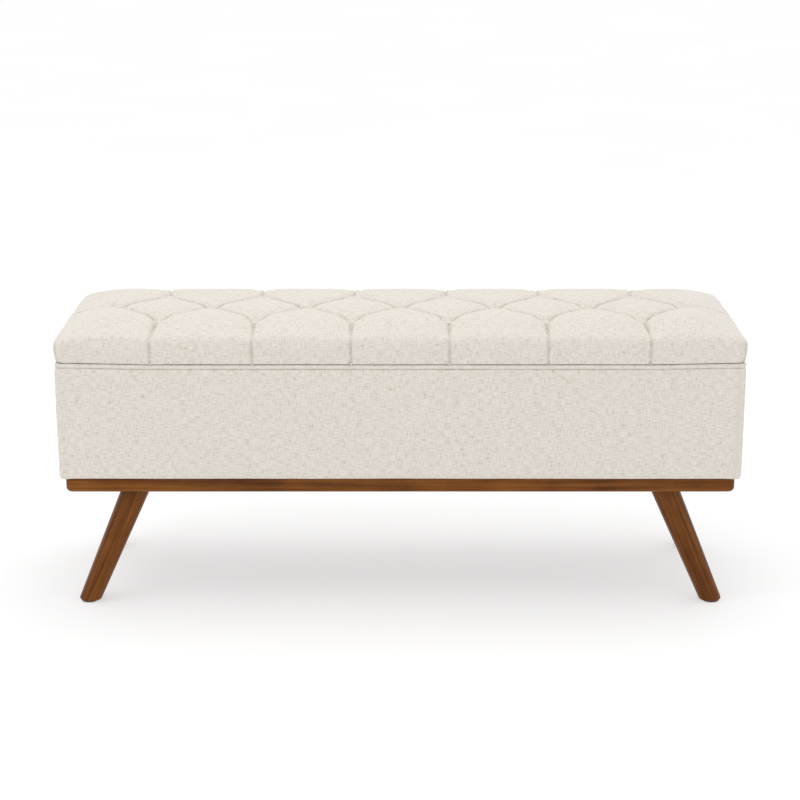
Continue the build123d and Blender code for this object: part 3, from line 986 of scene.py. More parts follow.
@dataclass(frozen=True)
class HingeRoom:
    """The round space that the cloth leaves free about the hinge knuckles."""

    axis_y: float
    axis_z: float
    spans: tuple[tuple[float, float], ...]
    radius: float = 4.1 * MM
    taper: float = 5 * MM

    @classmethod
    def from_frame(cls, end_gap: float = 1.5 * MM) -> "HingeRoom":
        """Finds the axis and the knuckles' spans from the hinge pins and leaves.

        Args:
            end_gap: The room past each end of the knuckles.

        Returns:
            The room.
        """
        low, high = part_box("hinge_pins")
        spans = []
        for side in ("left", "centre", "right"):
            a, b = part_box(f"hinge_{side}_box_leaf")
            spans.append((a.x - end_gap, b.x + end_gap))
        return cls((low.y + high.y) / 2, (low.z + high.z) / 2, tuple(spans))

    def clear(self, co: np.ndarray) -> np.ndarray:
        """Pushes points out of the room, easing back at its ends.

        Args:
            co: The points.

        Returns:
            Where they end.
        """
        out = co.copy()
        for a, b in self.spans:
            inside = np.minimum(co[:, 0] - a, b - co[:, 0])
            reach = self.radius * ease((inside + self.taper) / self.taper)
            off = out[:, 1:] - (self.axis_y, self.axis_z)
            far = np.maximum(np.linalg.norm(off, axis=1), 1e-6)
            push = (far < reach) & (reach > 0)
            out[push, 1:] += off[push] * ((reach - far) / far)[push, None]
        return out


def corner_lift(x: np.ndarray, y: np.ndarray, half_x: float, half_y: float,
                reach: float = 0.165, rise: float = 0.16) -> np.ndarray:
    """How far the cloth rides up towards the front corners.

    Args:
        x: Places along the bench.
        y: Places across it.
        half_x: Half its length.
        half_y: Half its depth.
        reach: How far from the ends the lift starts.
        rise: How much of that the lift takes to reach its height.

    Returns:
        The lift as a share from 0 to 1.
    """
    along = ease((np.abs(x) - (half_x - reach)) / rise)
    front = ease((-y + 0.35 * half_y) / (1.1 * half_y))
    return along * front


# ---------------------------------------------------------------- lid


@dataclass
class TuftedLid:
    """The lid's foam in its buttoned linen cover, with diamond puffs and pleats over the edges."""

    linen: bpy.types.Material
    room: HingeRoom
    buttons: np.ndarray
    cells: int = 14
    inset: float = 1.2 * MM
    cell: float = 5.8 * MM
    edge_top: float = 466.4 * MM
    dome: float = 6.2 * MM
    dome_reach: float = 88 * MM
    crown: float = 9.6 * MM
    crown_reach: float = 72 * MM
    side_puff: float = 2.4 * MM
    dip: float = 6.0 * MM
    dip_reach: float = 9.5 * MM
    roll: float = 11 * MM
    corner: float = 15 * MM
    lift: float = 2.7 * MM
    groove: float = 0.6 * MM
    fold_width: float = 1.4 * MM
    fold_depth: float = 2.6 * MM
    slack: float = 0.02
    give: float = 2.2 * MM
    fullness: float = 1.25
    settling: int = 1800
    uneven: float = 0.05
    flatter_back: float = 0.42
    clear_round: float = 15 * MM
    gather: float = 0.55 * MM
    gather_ring: float = 17 * MM
    gather_reach: float = 9 * MM
    droop: float = 6.5 * MM
    front_droop: float = 0.25
    droop_along: float = 85 * MM
    droop_across: float = 80 * MM
    end_roll: float = 5.0 * MM
    end_reach: float = 46 * MM
    pinch: float = 2.2 * MM
    fan: float = 5.5 * MM
    fan_reach: float = 50 * MM
    hem_turn: float = 0.8 * MM
    hem_wave: float = 0.35 * MM
    rumples: float = 0.28 * MM

    def __post_init__(self) -> None:
        """Takes the cover's box and the tuft pitch from the frame."""
        self.low, self.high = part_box("lid_cover")
        self.row = float(self.buttons[:, 1].max())
        self.pitch = float(self.buttons[:, 0].max()) / 6
        self.half = np.array([self.high.x, self.high.y]) - self.inset
        self.height = self.edge_top - self.low.z - 0.2 * MM

    def build(self) -> bpy.types.Object:
        """Makes the lid's cover, closed and dressed.

        Returns:
            The piece, riding on the lid.
        """
        wrap = Wrap(*self.lines(), self.drops(), self.corner, self.roll)
        pleated = self.pleated(wrap)
        puff = self.puff(wrap, pleated)
        co = self.shaped(wrap, puff)
        faces, walls = self.split(wrap, pleated)
        obj = piece("tufted_lid", co, faces, self.linen, 50)
        lay_cloth(obj, wrap.cloth(faces, walls))
        creased = pleated | self.seamed(wrap)
        crease(obj, creased)
        hem = wrap.drop[wrap.lattice[:, 2]] >= self.height - 1.5 * MM
        tied = self.from_button(co) < 11 * MM
        self.inflate(obj, creased | hem | tied)
        subdivide(obj)
        self.rumple(obj)
        self.fold(obj)
        self.close(obj)
        obj.data.set_sharp_from_angle(angle=math.radians(70))
        return obj

    def lines(self) -> tuple[np.ndarray, np.ndarray]:
        """Spaces the lattice: whole cells between buttons, and a close pair at each corner.

        Returns:
            Its x lines and its y lines.
        """
        out = []
        for size, near, spaces in zip(self.half, (6 * self.pitch, self.row), (6, 1)):
            inner = np.linspace(0, near, spaces * self.cells + 1)
            margin = size - near
            rest = near + np.linspace(0, margin, round(margin / self.cell) + 1)[1:]
            rest = np.append(rest[:-1], [size - 1.6 * MM, size])
            line = np.concatenate([inner, rest])
            out.append(np.concatenate([-line[:0:-1], line]))
        return out[0], out[1]

    def drops(self) -> np.ndarray:
        """Spaces the rows of the wall.

        Returns:
            How far down each row is, to the hem and then in under the board.
        """
        down = np.append(np.linspace(0, self.height - 4 * MM, 8), [self.height - 1.4 * MM, self.height])
        under = self.height + np.array([1.6, 5.0, 12.0, 22.0, 33.0]) * MM
        return np.concatenate([down, under])

    def steps(self, wrap: Wrap) -> tuple[np.ndarray, np.ndarray, np.ndarray]:
        """Counts lattice steps from the middle.

        Args:
            wrap: The lid's lattice.

        Returns:
            The steps along X, the steps along Y, and whether a point is past the top's edge.
        """
        i = wrap.lattice[:, 0] - len(wrap.xs) // 2
        j = wrap.lattice[:, 1] - len(wrap.ys) // 2
        return i, j, wrap.lattice[:, 2] > 0

    def pleated(self, wrap: Wrap) -> np.ndarray:
        """Finds the creases between puffs and the pleats over the edges.

        Args:
            wrap: The lid's lattice.

        Returns:
            Whether each lattice point is on one.
        """
        n = self.cells
        i, j, wall = self.steps(wrap)
        last_y, last_x = len(wrap.ys) // 2, len(wrap.xs) // 2
        from_middle_row = np.abs(i - 2 * n * np.round(i / (2 * n)))
        diamonds = (np.abs(j) <= n) & (np.abs(i) <= 6 * n) & (from_middle_row == np.abs(j)) & ~wall
        at_button = (np.abs(np.abs(i) % (2 * n)) == n) & (np.abs(i) <= 5 * n)
        fronts = at_button & (((np.abs(j) >= n) & ~wall) | ((np.abs(j) == last_y) & wall))
        ends = (j == 0) & (((np.abs(i) >= 6 * n) & ~wall) | ((np.abs(i) == last_x) & wall))
        hem = wrap.drop[wrap.lattice[:, 2]] <= self.height
        return (diamonds | fronts | ends) & hem

    def seamed(self, wrap: Wrap) -> np.ndarray:
        """Finds the upright corner seams.

        Args:
            wrap: The lid's lattice.

        Returns:
            Whether each lattice point is on one.
        """
        i, j, wall = self.steps(wrap)
        down = wrap.drop[wrap.lattice[:, 2]]
        corner = (np.abs(i) == len(wrap.xs) // 2) & (np.abs(j) == len(wrap.ys) // 2)
        return corner & wall & (down <= self.height)

    def puff(self, wrap: Wrap, pleated: np.ndarray) -> np.ndarray:
        """Finds how far each point is blown out, as a skin held at the creases would be.

        Args:
            wrap: The lid's lattice.
            pleated: The points held down.

        Returns:
            The share for each lattice point, from 0 on the creases to about 1 mid-diamond.
        """
        place = wrap.points
        count = len(place)
        pairs = {tuple(sorted(e)) for f in wrap.faces for e in zip(f, f[1:] + f[:1])}
        near = np.full((count, 4), -1)
        used = np.zeros(count, int)
        for a, b in pairs:
            for p, q in ((a, b), (b, a)):
                near[p, used[p]] = q
                used[p] += 1
        gap = np.linalg.norm(place[np.maximum(near, 0)] - place[:, None], axis=2)
        hold = np.where(near >= 0, 1 / np.maximum(gap, 1 * MM), 0.0)
        load = np.where(near >= 0, gap, 0).sum(1) / np.maximum(used, 1)
        total = hold.sum(1)
        held = pleated | (wrap.drop[wrap.lattice[:, 2]] >= self.height - 1 * MM)
        u = np.zeros(count)
        neighbour = np.maximum(near, 0)
        for _ in range(self.settling):
            u = ((hold * u[neighbour]).sum(1) + load) / total
            u[held] = 0
        middle = (np.abs(wrap.points[:, 0]) < 2.2 * self.pitch) & (wrap.lattice[:, 2] == 0)
        middle &= np.abs(wrap.points[:, 1]) < 0.3 * self.row
        t = u / u[middle].max()
        return (1 - np.exp(-self.fullness * np.sqrt(t))) / (1 - math.exp(-self.fullness))

    def from_button(self, co: np.ndarray) -> np.ndarray:
        """Measures from each point to the nearest button's middle, seen from above.

        Args:
            co: The points.

        Returns:
            The distances.
        """
        apart = co[:, None, :2] - self.buttons[None, :, :2]
        return np.linalg.norm(apart, axis=2).min(1)

    def shaped(self, wrap: Wrap, puff: np.ndarray) -> np.ndarray:
        """Shapes the cover as it lies over the foam.

        Args:
            wrap: The lid's lattice.
            puff: How far each point is blown out.

        Returns:
            Each lattice point's place on the bench.
        """
        down = wrap.drop[wrap.lattice[:, 2]]
        under = np.maximum(0, down - self.height)
        co = self.swelled(wrap, puff, under)
        self.sink_tufts(co, wrap.facing, puff)
        self.draw_in(co, wrap, puff, down)
        self.round_ends(co, wrap, down, under)
        self.lift_hem(co, down, under)
        return self.room.clear(co)

    def swelled(self, wrap: Wrap, puff: np.ndarray, under: np.ndarray) -> np.ndarray:
        """Domes the top and blows every puff out.

        Args:
            wrap: The lid's lattice.
            puff: How far each point is blown out.
            under: How far in under the board each point is.

        Returns:
            Each lattice point's place.
        """
        co = wrap.points.copy()
        for axis in (0, 1):
            co[:, axis] *= (self.half[axis] - under) / self.half[axis]
        margins = self.half - np.abs(wrap.points[:, :2])
        own = 1 + self.uneven * Ripple(3, 0.5, 0.11)(co[:, 0], 2 * co[:, 1])
        own *= 1 - self.flatter_back * ease((co[:, 1] + 30 * MM) / (110 * MM))
        own *= 1 - np.exp(-((self.from_button(co) / self.clear_round) ** 2))
        crowned = ease((margins.min(1) - 2 * MM) / self.crown_reach)
        amount = (self.side_puff + (self.crown - self.side_puff) * crowned) * own
        co[:, 2] = self.edge_top - np.minimum(-wrap.points[:, 2], self.height)
        co[:, 2] += self.dome * np.prod(ease(margins / self.dome_reach), axis=1)
        co += wrap.facing * (amount * puff)[:, None]
        return co

    def sink_tufts(self, co: np.ndarray, facing: np.ndarray, puff: np.ndarray) -> None:
        """Pulls the cloth down at each button, with small gathers round it.

        Args:
            co: The cover's points, which move.
            facing: The way that each faces.
            puff: How far each is blown out.
        """
        top = np.clip(facing[:, 2], 0, 1)
        for bx, by in self.buttons[:, :2]:
            dx, dy = co[:, 0] - bx, co[:, 1] - by
            r, turn = np.hypot(dx, dy), np.arctan2(dy, dx)
            co[:, 2] -= top * self.dip * np.exp(-((r / self.dip_reach) ** 2) / 2)
            ring = np.exp(-(((r - self.gather_ring) / self.gather_reach) ** 2))
            gathers = np.sin(9 * turn + 40 * bx) * ring
            co[:, 2] += top * self.gather * gathers * (puff > 0.02)

    def draw_in(self, co: np.ndarray, wrap: Wrap, puff: np.ndarray, down: np.ndarray) -> None:
        """Draws the corner seams and the edges of the pleats in.

        Args:
            co: The cover's points, which move.
            wrap: The lid's lattice.
            puff: How far each point is blown out.
            down: How far down the wall each point is.
        """
        seam = self.seamed(wrap) & (down > 0.4 * self.roll)
        co[seam] -= wrap.facing[seam] * self.groove
        hem = (puff < 0.02) & (down > 0.5 * self.roll) & (down < self.height)
        co[hem] -= wrap.facing[hem] * 0.5 * self.groove

    def round_ends(self, co: np.ndarray, wrap: Wrap, down: np.ndarray, under: np.ndarray) -> None:
        """Rounds the corners and ends off, pinches the hem in and fans the outer pleats.

        Args:
            co: The cover's points, which move.
            wrap: The lid's lattice.
            down: How far down the wall each point is.
            under: How far in under the board it is.
        """
        along, across = (self.half - np.abs(wrap.points[:, :2])).T
        high = np.clip((co[:, 2] - self.low.z) / self.height, 0, 1)
        round_off = ease(1 - along / self.droop_along) * ease(1 - across / self.droop_across)
        co[:, 2] -= self.droop * high * round_off * np.where(co[:, 1] > 0, 1.0, self.front_droop)
        co[:, 2] -= self.end_roll * high * np.clip(1 - along / self.end_reach, 0, 1) ** 2
        pinched = self.pinch * np.clip(down / self.height, 0, 1) * (under <= 0)
        co[:, :2] -= wrap.facing[:, :2] * pinched[:, None]
        outer = np.exp(-(((np.abs(co[:, 0]) - 5 * self.pitch) / self.fan_reach) ** 2))
        past = ease((np.abs(co[:, 1]) - self.row) / (self.half[1] - self.row)) * (under <= 0)
        co[:, 0] += np.sign(co[:, 0]) * self.fan * outer * past

    def lift_hem(self, co: np.ndarray, down: np.ndarray, under: np.ndarray) -> None:
        """Drops the hem a little, lifts it towards the front corners and waves it.

        Args:
            co: The cover's points, which move.
            down: How far down the wall each point is.
            under: How far in under the board it is.
        """
        co[:, 2] -= self.hem_turn * ease(2 * down / self.height - 1) * (1 - ease(under / (3 * MM)))
        rise = self.lift * corner_lift(co[:, 0], co[:, 1], *self.half)
        rise *= ease((down - self.roll) / (self.height - self.roll)) * (1 - ease(under / (7 * MM)))
        co[:, 2] += rise
        wave = Ripple(11, 0.3, 0.05)(co[:, 0] + co[:, 1])
        co[:, 2] += self.hem_wave * wave * ease((down - 20 * MM) / (20 * MM)) * (under <= 0)

    def split(self, wrap: Wrap, pleated: np.ndarray) -> tuple[Faces, list[int]]:
        """Splits the faces that a crease crosses in two along it.

        Args:
            wrap: The lid's lattice.
            pleated: The points on creases.

        Returns:
            All the faces, and which side each is on.
        """
        faces: Faces = []
        walls: list[int] = []
        for (a, b, c, d), side in zip(wrap.faces, wrap.walls):
            if side == 0 and pleated[a] and pleated[c]:
                parts = [(a, b, c), (a, c, d)]
            elif side == 0 and pleated[b] and pleated[d]:
                parts = [(a, b, d), (b, c, d)]
            else:
                parts = [(a, b, c, d)]
            faces += parts
            walls += [side] * len(parts)
        return faces, walls

    def inflate(self, obj: bpy.types.Object, held: np.ndarray) -> None:
        """Blows the cover up over its foam with the cloth solver, so that it strains and puckers.

        Args:
            obj: The cover before it is smoothed.
            held: The vertices that the ties, pleats and staples hold down.
        """
        rest = points_of(obj.data)
        pins = obj.vertex_groups.new(name="held")
        pins.add([int(v) for v in np.flatnonzero(held)], 1.0, "REPLACE")
        solver = obj.modifiers.new("cloth", "CLOTH")
        cloth = solver.settings
        cloth.quality = 5
        cloth.mass = 0.25
        cloth.tension_stiffness = cloth.compression_stiffness = 25
        cloth.shear_stiffness = 8
        cloth.bending_stiffness = 0.6
        cloth.vertex_group_mass = pins.name
        cloth.use_pressure = True
        cloth.uniform_pressure_force = 4
        cloth.shrink_min = -self.slack
        cloth.effector_weights.gravity = 0
        solver.collision_settings.use_collision = False
        for frame in range(1, 21):
            bpy.context.scene.frame_set(frame)
        apply_modifiers(obj)
        bpy.context.scene.frame_set(1)
        obj.vertex_groups.clear()
        shift = points_of(obj.data) - rest
        far = np.linalg.norm(shift, axis=1)
        log.info("cloth solver: moved up to %.1f mm, on average %.2f mm", far.max() / MM, far.mean() / MM)
        shift *= (self.give / (self.give + far))[:, None]
        move_points(obj.data, self.room.clear(rest + shift))

    def fold(self, obj: bpy.types.Object) -> None:
        """Sinks a narrow fold along every crease, pleat and corner seam.

        Args:
            obj: The cover.
        """
        bm = bmesh.new()
        bm.from_mesh(obj.data)
        layer = bm.edges.layers.float.get(CREASE)
        kept = [e for e in bm.edges if e[layer] > 0.5]
        lines = [e.verts[0].co.lerp(e.verts[1].co, t / 6) for e in kept for t in range(6)]
        log.info("folds: %d edges", len(kept))
        bmesh.ops.bevel(
            bm, geom=kept, offset=self.fold_width / 2, segments=2, profile=0.5, affect="EDGES",
            clamp_overlap=True,
        )
        tree = KDTree(len(lines))
        for k, place in enumerate(lines):
            tree.insert(place, k)
        tree.balance()
        bm.normal_update()
        sunk = [v for v in bm.verts if tree.find(v.co)[2] < 0.30 * self.fold_width]
        away = self.from_button(np.array([v.co for v in sunk]))
        depth = self.fold_depth * (0.25 + 0.75 * ease((away - 9 * MM) / (14 * MM)))
        for v, sink in zip(sunk, depth):
            v.co -= v.normal * float(sink)
        bm.to_mesh(obj.data)
        bm.free()

    def rumple(self, obj: bpy.types.Object) -> None:
        """Adds the small soft unevenness of cloth over foam.

        Args:
            obj: The cover.
        """
        mesh = obj.data
        co, n = points_of(mesh), normals_of(mesh)
        fine = Ripple(21, 0.09, 0.022, 9)(co[:, 0] + 0.4 * co[:, 2], co[:, 1] - 0.6 * co[:, 2])
        free = ease((co[:, 2] - self.low.z - 1 * MM) / (8 * MM))
        move_points(mesh, co + n * (self.rumples * fine * free)[:, None])

    def close(self, obj: bpy.types.Object) -> None:
        """Closes the lid under its board, where the cloth under the lid hides it.

        Args:
            obj: The cover.
        """
        bm = bmesh.new()
        bm.from_mesh(obj.data)
        rim = [e for e in bm.edges if e.is_boundary]
        bmesh.ops.holes_fill(bm, edges=rim, sides=0)
        bm.to_mesh(obj.data)
        bm.free()


@dataclass
class CoveredButtons:
    """Small domed buttons covered in the lid's linen, each sunk in its tuft."""

    linen: bpy.types.Material
    buttons: np.ndarray
    seat: float = 468.7 * MM
    radius: float = 8.8 * MM
    dome: float = 4.9 * MM
    spokes: int = 28

    def build(self) -> bpy.types.Object:
        """Makes all the buttons as one piece.

        Returns:
            The piece.
        """
        rings = [(0.0, 1.0), (0.22, 0.985), (0.45, 0.93), (0.66, 0.82), (0.83, 0.64), (0.95, 0.40)]
        rings += [(1.0, 0.16), (0.985, -0.08), (0.90, -0.30), (0.62, -0.36), (0.30, -0.37)]
        points: list[Point] = []
        places: list[tuple[float, float]] = []
        faces: Faces = []
        rng = np.random.default_rng(5)
        for bx, by in self.buttons[:, :2]:
            first, spin = len(points), rng.uniform(-0.5, 0.5)
            lean = rng.uniform(-0.03, 0.03, 2)
            for share, up in rings[1:]:
                for k in range(self.spokes):
                    turn = k * math.tau / self.spokes
                    pucker = 1 + 0.018 * math.sin(turn * 11 + spin * 9) * max(0.0, share - 0.5) * 2
                    reach = share * self.radius * pucker
                    x, y = reach * math.cos(turn), reach * math.sin(turn)
                    z = self.seat + self.dome * up + lean[0] * x + lean[1] * y
                    points.append((bx + x, by + y, z))
                    run = self.radius * (share if up > 0 else 2 - share)
                    places.append((bx + run * math.cos(turn + spin), by + run * math.sin(turn + spin)))
            top = len(points)
            points.append((bx, by, self.seat + self.dome))
            places.append((bx, by))
            base = len(points)
            points.append((bx, by, self.seat + self.dome * rings[-1][1]))
            places.append((bx, by))
            count = len(rings) - 1
            for k in range(self.spokes):
                q = (k + 1) % self.spokes
                faces.append((top, first + k, first + q))
                for r in range(count - 1):
                    a, b = first + r * self.spokes, first + (r + 1) * self.spokes
                    faces.append((a + k, b + k, b + q, a + q))
                last = first + (count - 1) * self.spokes
                faces.append((last + k, base, last + q))
        obj = piece("covered_buttons", np.array(points), faces, self.linen, 70)
        lay_cloth_by_point(obj, np.array(places))
        return obj


# ---------------------------------------------------------------- box cover, welt and rim


def outline(half: np.ndarray, corner: float, step: float) -> tuple[np.ndarray, np.ndarray, np.ndarray]:
    """A rounded rectangle walked counter-clockwise, with close points beside each corner's middle.

    Args:
        half: Half its length and depth.
        corner: Its corners' radius.
        step: The rough distance between points.

    Returns:
        The points, the outward directions, and the distance walked to each.
    """
    core = half - corner
    points, normals = [], []
    corners = [(1, -1, -90), (1, 1, 0), (-1, 1, 90), (-1, -1, 180)]
    for c, (sx, sy, start) in enumerate(corners):
        middle = core * (sx, sy)
        for turn in (0, 18, 36, 45, 54, 72, 90):
            a = math.radians(start + turn)
            n = np.array([math.cos(a), math.sin(a)])
            points.append(middle + corner * n)
            normals.append(n)
        along = core[1] if c % 2 == 0 else core[0]
        count = round(2 * along / step)
        n = normals[-1]
        ahead = np.array([-n[1], n[0]])
        for k in range(1, count):
            points.append(middle + corner * n + ahead * (2 * along * k / count))
            normals.append(n)
    co = np.array(points)
    return co, np.array(normals), walked_along(co)


def ring_faces(around: int, rows: int) -> Faces:
    """Quads between rows of points that each go right round, with the last row joined to the first.

    Args:
        around: Points in a row.
        rows: How many rows.

    Returns:
        The quads, facing out when the rows go down and the walk is counter-clockwise.
    """
    faces: Faces = []
    for r in range(rows):
        a, b = r * around, ((r + 1) % rows) * around
        for k in range(around):
            q = (k + 1) % around
            faces.append((b + k, b + q, a + q, a + k))
    return faces


@dataclass
class BoxCover:
    """The linen round the box over its wadding, with corner seams and a turned-under hem."""

    linen: bpy.types.Material
    step: float = 7.0 * MM
    row: float = 8.0 * MM
    corner: float = 7 * MM
    inset: float = 0.3 * MM
    bulge: float = 3.0 * MM
    groove: float = 0.9 * MM
    lift: float = 2.3 * MM
    dip: float = 1.3 * MM
    thick: float = 4.3 * MM
    turned_under: float = 34.5 * MM
    pull: float = 0.22 * MM
    pull_pitch: float = 47 * MM

    def build(self) -> bpy.types.Object:
        """Makes the cover as a closed ring.

        Returns:
            The piece.
        """
        low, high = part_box("box_cover")
        half = np.array([high.x, high.y]) - self.inset
        base, out, walked = outline(half, self.corner, self.step)
        rows = self.profile(low.z, high.z)
        co, places = [], []
        run = walked_along(np.array(rows))
        for (inward, z), length in zip(rows, run):
            flat = base * ((half - inward) / half)
            row = np.column_stack([flat, np.full(len(flat), z)])
            co.append(self.dressed(row, out, half, inward, low.z, high.z))
            places.append(np.column_stack([walked, np.full(len(flat), -length)]))
        faces = ring_faces(len(base), len(rows))
        obj = piece("box_cover_cloth", np.concatenate(co), faces, self.linen, 60)
        lay_cloth_by_point(obj, np.concatenate(places))
        on_seam = np.abs(np.abs(out[:, 0]) - np.abs(out[:, 1])) < 1e-3
        crease(obj, np.tile(on_seam, len(rows)))
        subdivide(obj)
        return obj

    def profile(self, bottom: float, top: float) -> list[tuple[float, float]]:
        """Draws the cover's section, from the top edge down the outside, under and back up inside.

        Args:
            bottom: The height of the cover's hem.
            top: The height of its top edge.

        Returns:
            Pairs of a step inward and a height.
        """
        t = self.thick
        face_top, face_bottom = top - 9 * MM, bottom + 9 * MM
        count = round((face_top - face_bottom) / self.row)
        face = [(0.0, face_top + (face_bottom - face_top) * k / count) for k in range(count + 1)]
        above = [(t, top + 0.2 * MM), (2.6 * MM, top + 0.5 * MM)]
        above += [(1.1 * MM, top - 0.4 * MM), (0.25 * MM, top - 3.2 * MM)]
        below = [(0.5 * MM, bottom + 4.6 * MM), (1.8 * MM, bottom + 1.7 * MM)]
        below += [(4.4 * MM, bottom + 0.25 * MM)]
        under = [(inward, bottom + 0.06 * MM) for inward in (9 * MM, 20 * MM, self.turned_under)]
        back = [(self.turned_under, bottom + 1.2 * MM), (20 * MM, bottom + 1.3 * MM)]
        back += [(t, bottom + 1.35 * MM)]
        return above + face + below + under + back + [(t, bottom + 60 * MM), (t, top - 60 * MM)]

    def dressed(self, co: np.ndarray, out: np.ndarray, half: np.ndarray, inward: float,
                bottom: float, top: float) -> np.ndarray:
        """Adds the face's swell, ripples, corner seams, and the waves of both edges.

        Args:
            co: One row of points, which move.
            out: The way that each faces.
            half: Half the cover's length and depth.
            inward: How far in from the face the row is.
            bottom: The height of the hem.
            top: The height of the top edge.

        Returns:
            The row.
        """
        x, y, z = co.T
        share = np.clip((z - bottom) / (top - bottom), 0, 1)
        near = np.minimum(half[0] - np.abs(x), half[1] - np.abs(y))
        from_corner = np.maximum(half[0] - np.abs(x), half[1] - np.abs(y))
        outer = ease(1 - inward / (3 * MM))
        swell = self.bulge * np.sin(math.pi * share) ** 0.6 * ease(from_corner / 0.09)
        soft = 0.30 * MM * Ripple(31, 0.34, 0.05, 8)(x + y, 1.3 * z) * np.sin(math.pi * share)
        pulls = self.pull * np.sin((x + y) * math.tau / self.pull_pitch + 3 * np.sin(x * 9))
        pulls *= ease((share - 0.86) / 0.12)
        seam = self.groove * np.exp(-((from_corner / (1.5 * MM)) ** 2)) * ease(share / 0.04)
        co[:, :2] += out * (outer * (swell + soft + pulls - seam))[:, None]
        rise = self.lift * corner_lift(x, y, *half) * ease((share - 0.55) / 0.45)
        hem = ease(1 - share / 0.09)
        wave = 0.4 * MM * Ripple(37, 0.4, 0.06)(x + y) * (near < 9 * MM)
        drop = self.dip * np.exp(-((from_corner / (16 * MM)) ** 2)) * (near < 9 * MM)
        co[:, 2] += rise + hem * (np.maximum(wave, -0.3 * MM) - drop) * ease(1 - (inward - 4 * MM) / (6 * MM))
        return co


@dataclass
class RimWelt:
    """The cord covered in bias-cut linen that finishes the top edge of the box."""

    linen: bpy.types.Material
    room: HingeRoom
    lift: float = 2.3 * MM
    inset: float = 4.1 * MM
    sides: int = 16
    pucker: float = 0.16 * MM

    def build(self) -> bpy.types.Object:
        """Makes the welt as one closed cord.

        Returns:
            The piece.
        """
        low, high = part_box("rim_welt")
        radius = (high.z - low.z) / 2
        half = np.array(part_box("box_cover")[1].xy) - self.inset
        flat, _, _ = outline(half, 6 * MM, 4.5 * MM)
        z = (low.z + high.z) / 2 + self.lift * corner_lift(flat[:, 0], flat[:, 1], *half)
        z = z + 0.25 * MM * Ripple(41, 0.25, 0.04)(flat[:, 0] + flat[:, 1])
        points, faces, places = cord(np.column_stack([flat, z]), radius, self.sides)
        points = self.room.clear(points)
        obj = piece("welt", points, faces, self.linen, 60)
        turned = np.stack([places[:, 0] + places[:, 1], places[:, 0] - places[:, 1]], 1) * math.sqrt(0.5)
        lay_cloth_by_point(obj, turned)
        mesh = obj.data
        co, n = points_of(mesh), normals_of(mesh)
        puckers = Ripple(43, 0.03, 0.009, 5)(co[:, 0] + co[:, 1], co[:, 2])
        move_points(mesh, co + n * (self.pucker * puckers)[:, None])
        return obj


@dataclass
class RimStrip:
    """The flat strip of linen over the top of the rim, between the lining and the welt."""

    linen: bpy.types.Material

    def build(self) -> bpy.types.Object:
        """Makes the strip.

        Returns:
            The piece.
        """
        low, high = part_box("rim_strip")
        half = np.array([high.x, high.y])
        width = half[1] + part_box("lining_front")[0].y
        base, _, walked = outline(half, 4 * MM, 9 * MM)
        top = high.z
        rows = [(0.1 * MM, low.z), (0.0, top - 0.5 * MM), (1.2 * MM, top), (8 * MM, top + 0.1 * MM)]
        rows += [(16 * MM, top + 0.1 * MM), (24 * MM, top)]
        rows += [(width - 2 * MM, top), (width - 0.4 * MM, top - 0.6 * MM)]
        rows += [(width, low.z), (width - 6 * MM, low.z + 0.1 * MM), (8 * MM, low.z + 0.1 * MM)]
        run = walked_along(np.array(rows))
        co, places = [], []
        for (inward, z), length in zip(rows, run):
            flat = base * ((half - inward) / half)
            wave = 0.12 * MM * Ripple(47, 0.2, 0.03)(flat[:, 0], flat[:, 1]) * (z > top - 0.3 * MM)
            co.append(np.column_stack([flat, z + wave]))
            places.append(np.column_stack([walked, np.full(len(flat), length)]))
        obj = piece("rim_cloth", np.concatenate(co), ring_faces(len(base), len(rows)), self.linen, 50)
        obj.data.flip_normals()
        lay_cloth_by_point(obj, np.concatenate(places))
        return obj


# ---------------------------------------------------------------- flat cloths and linings


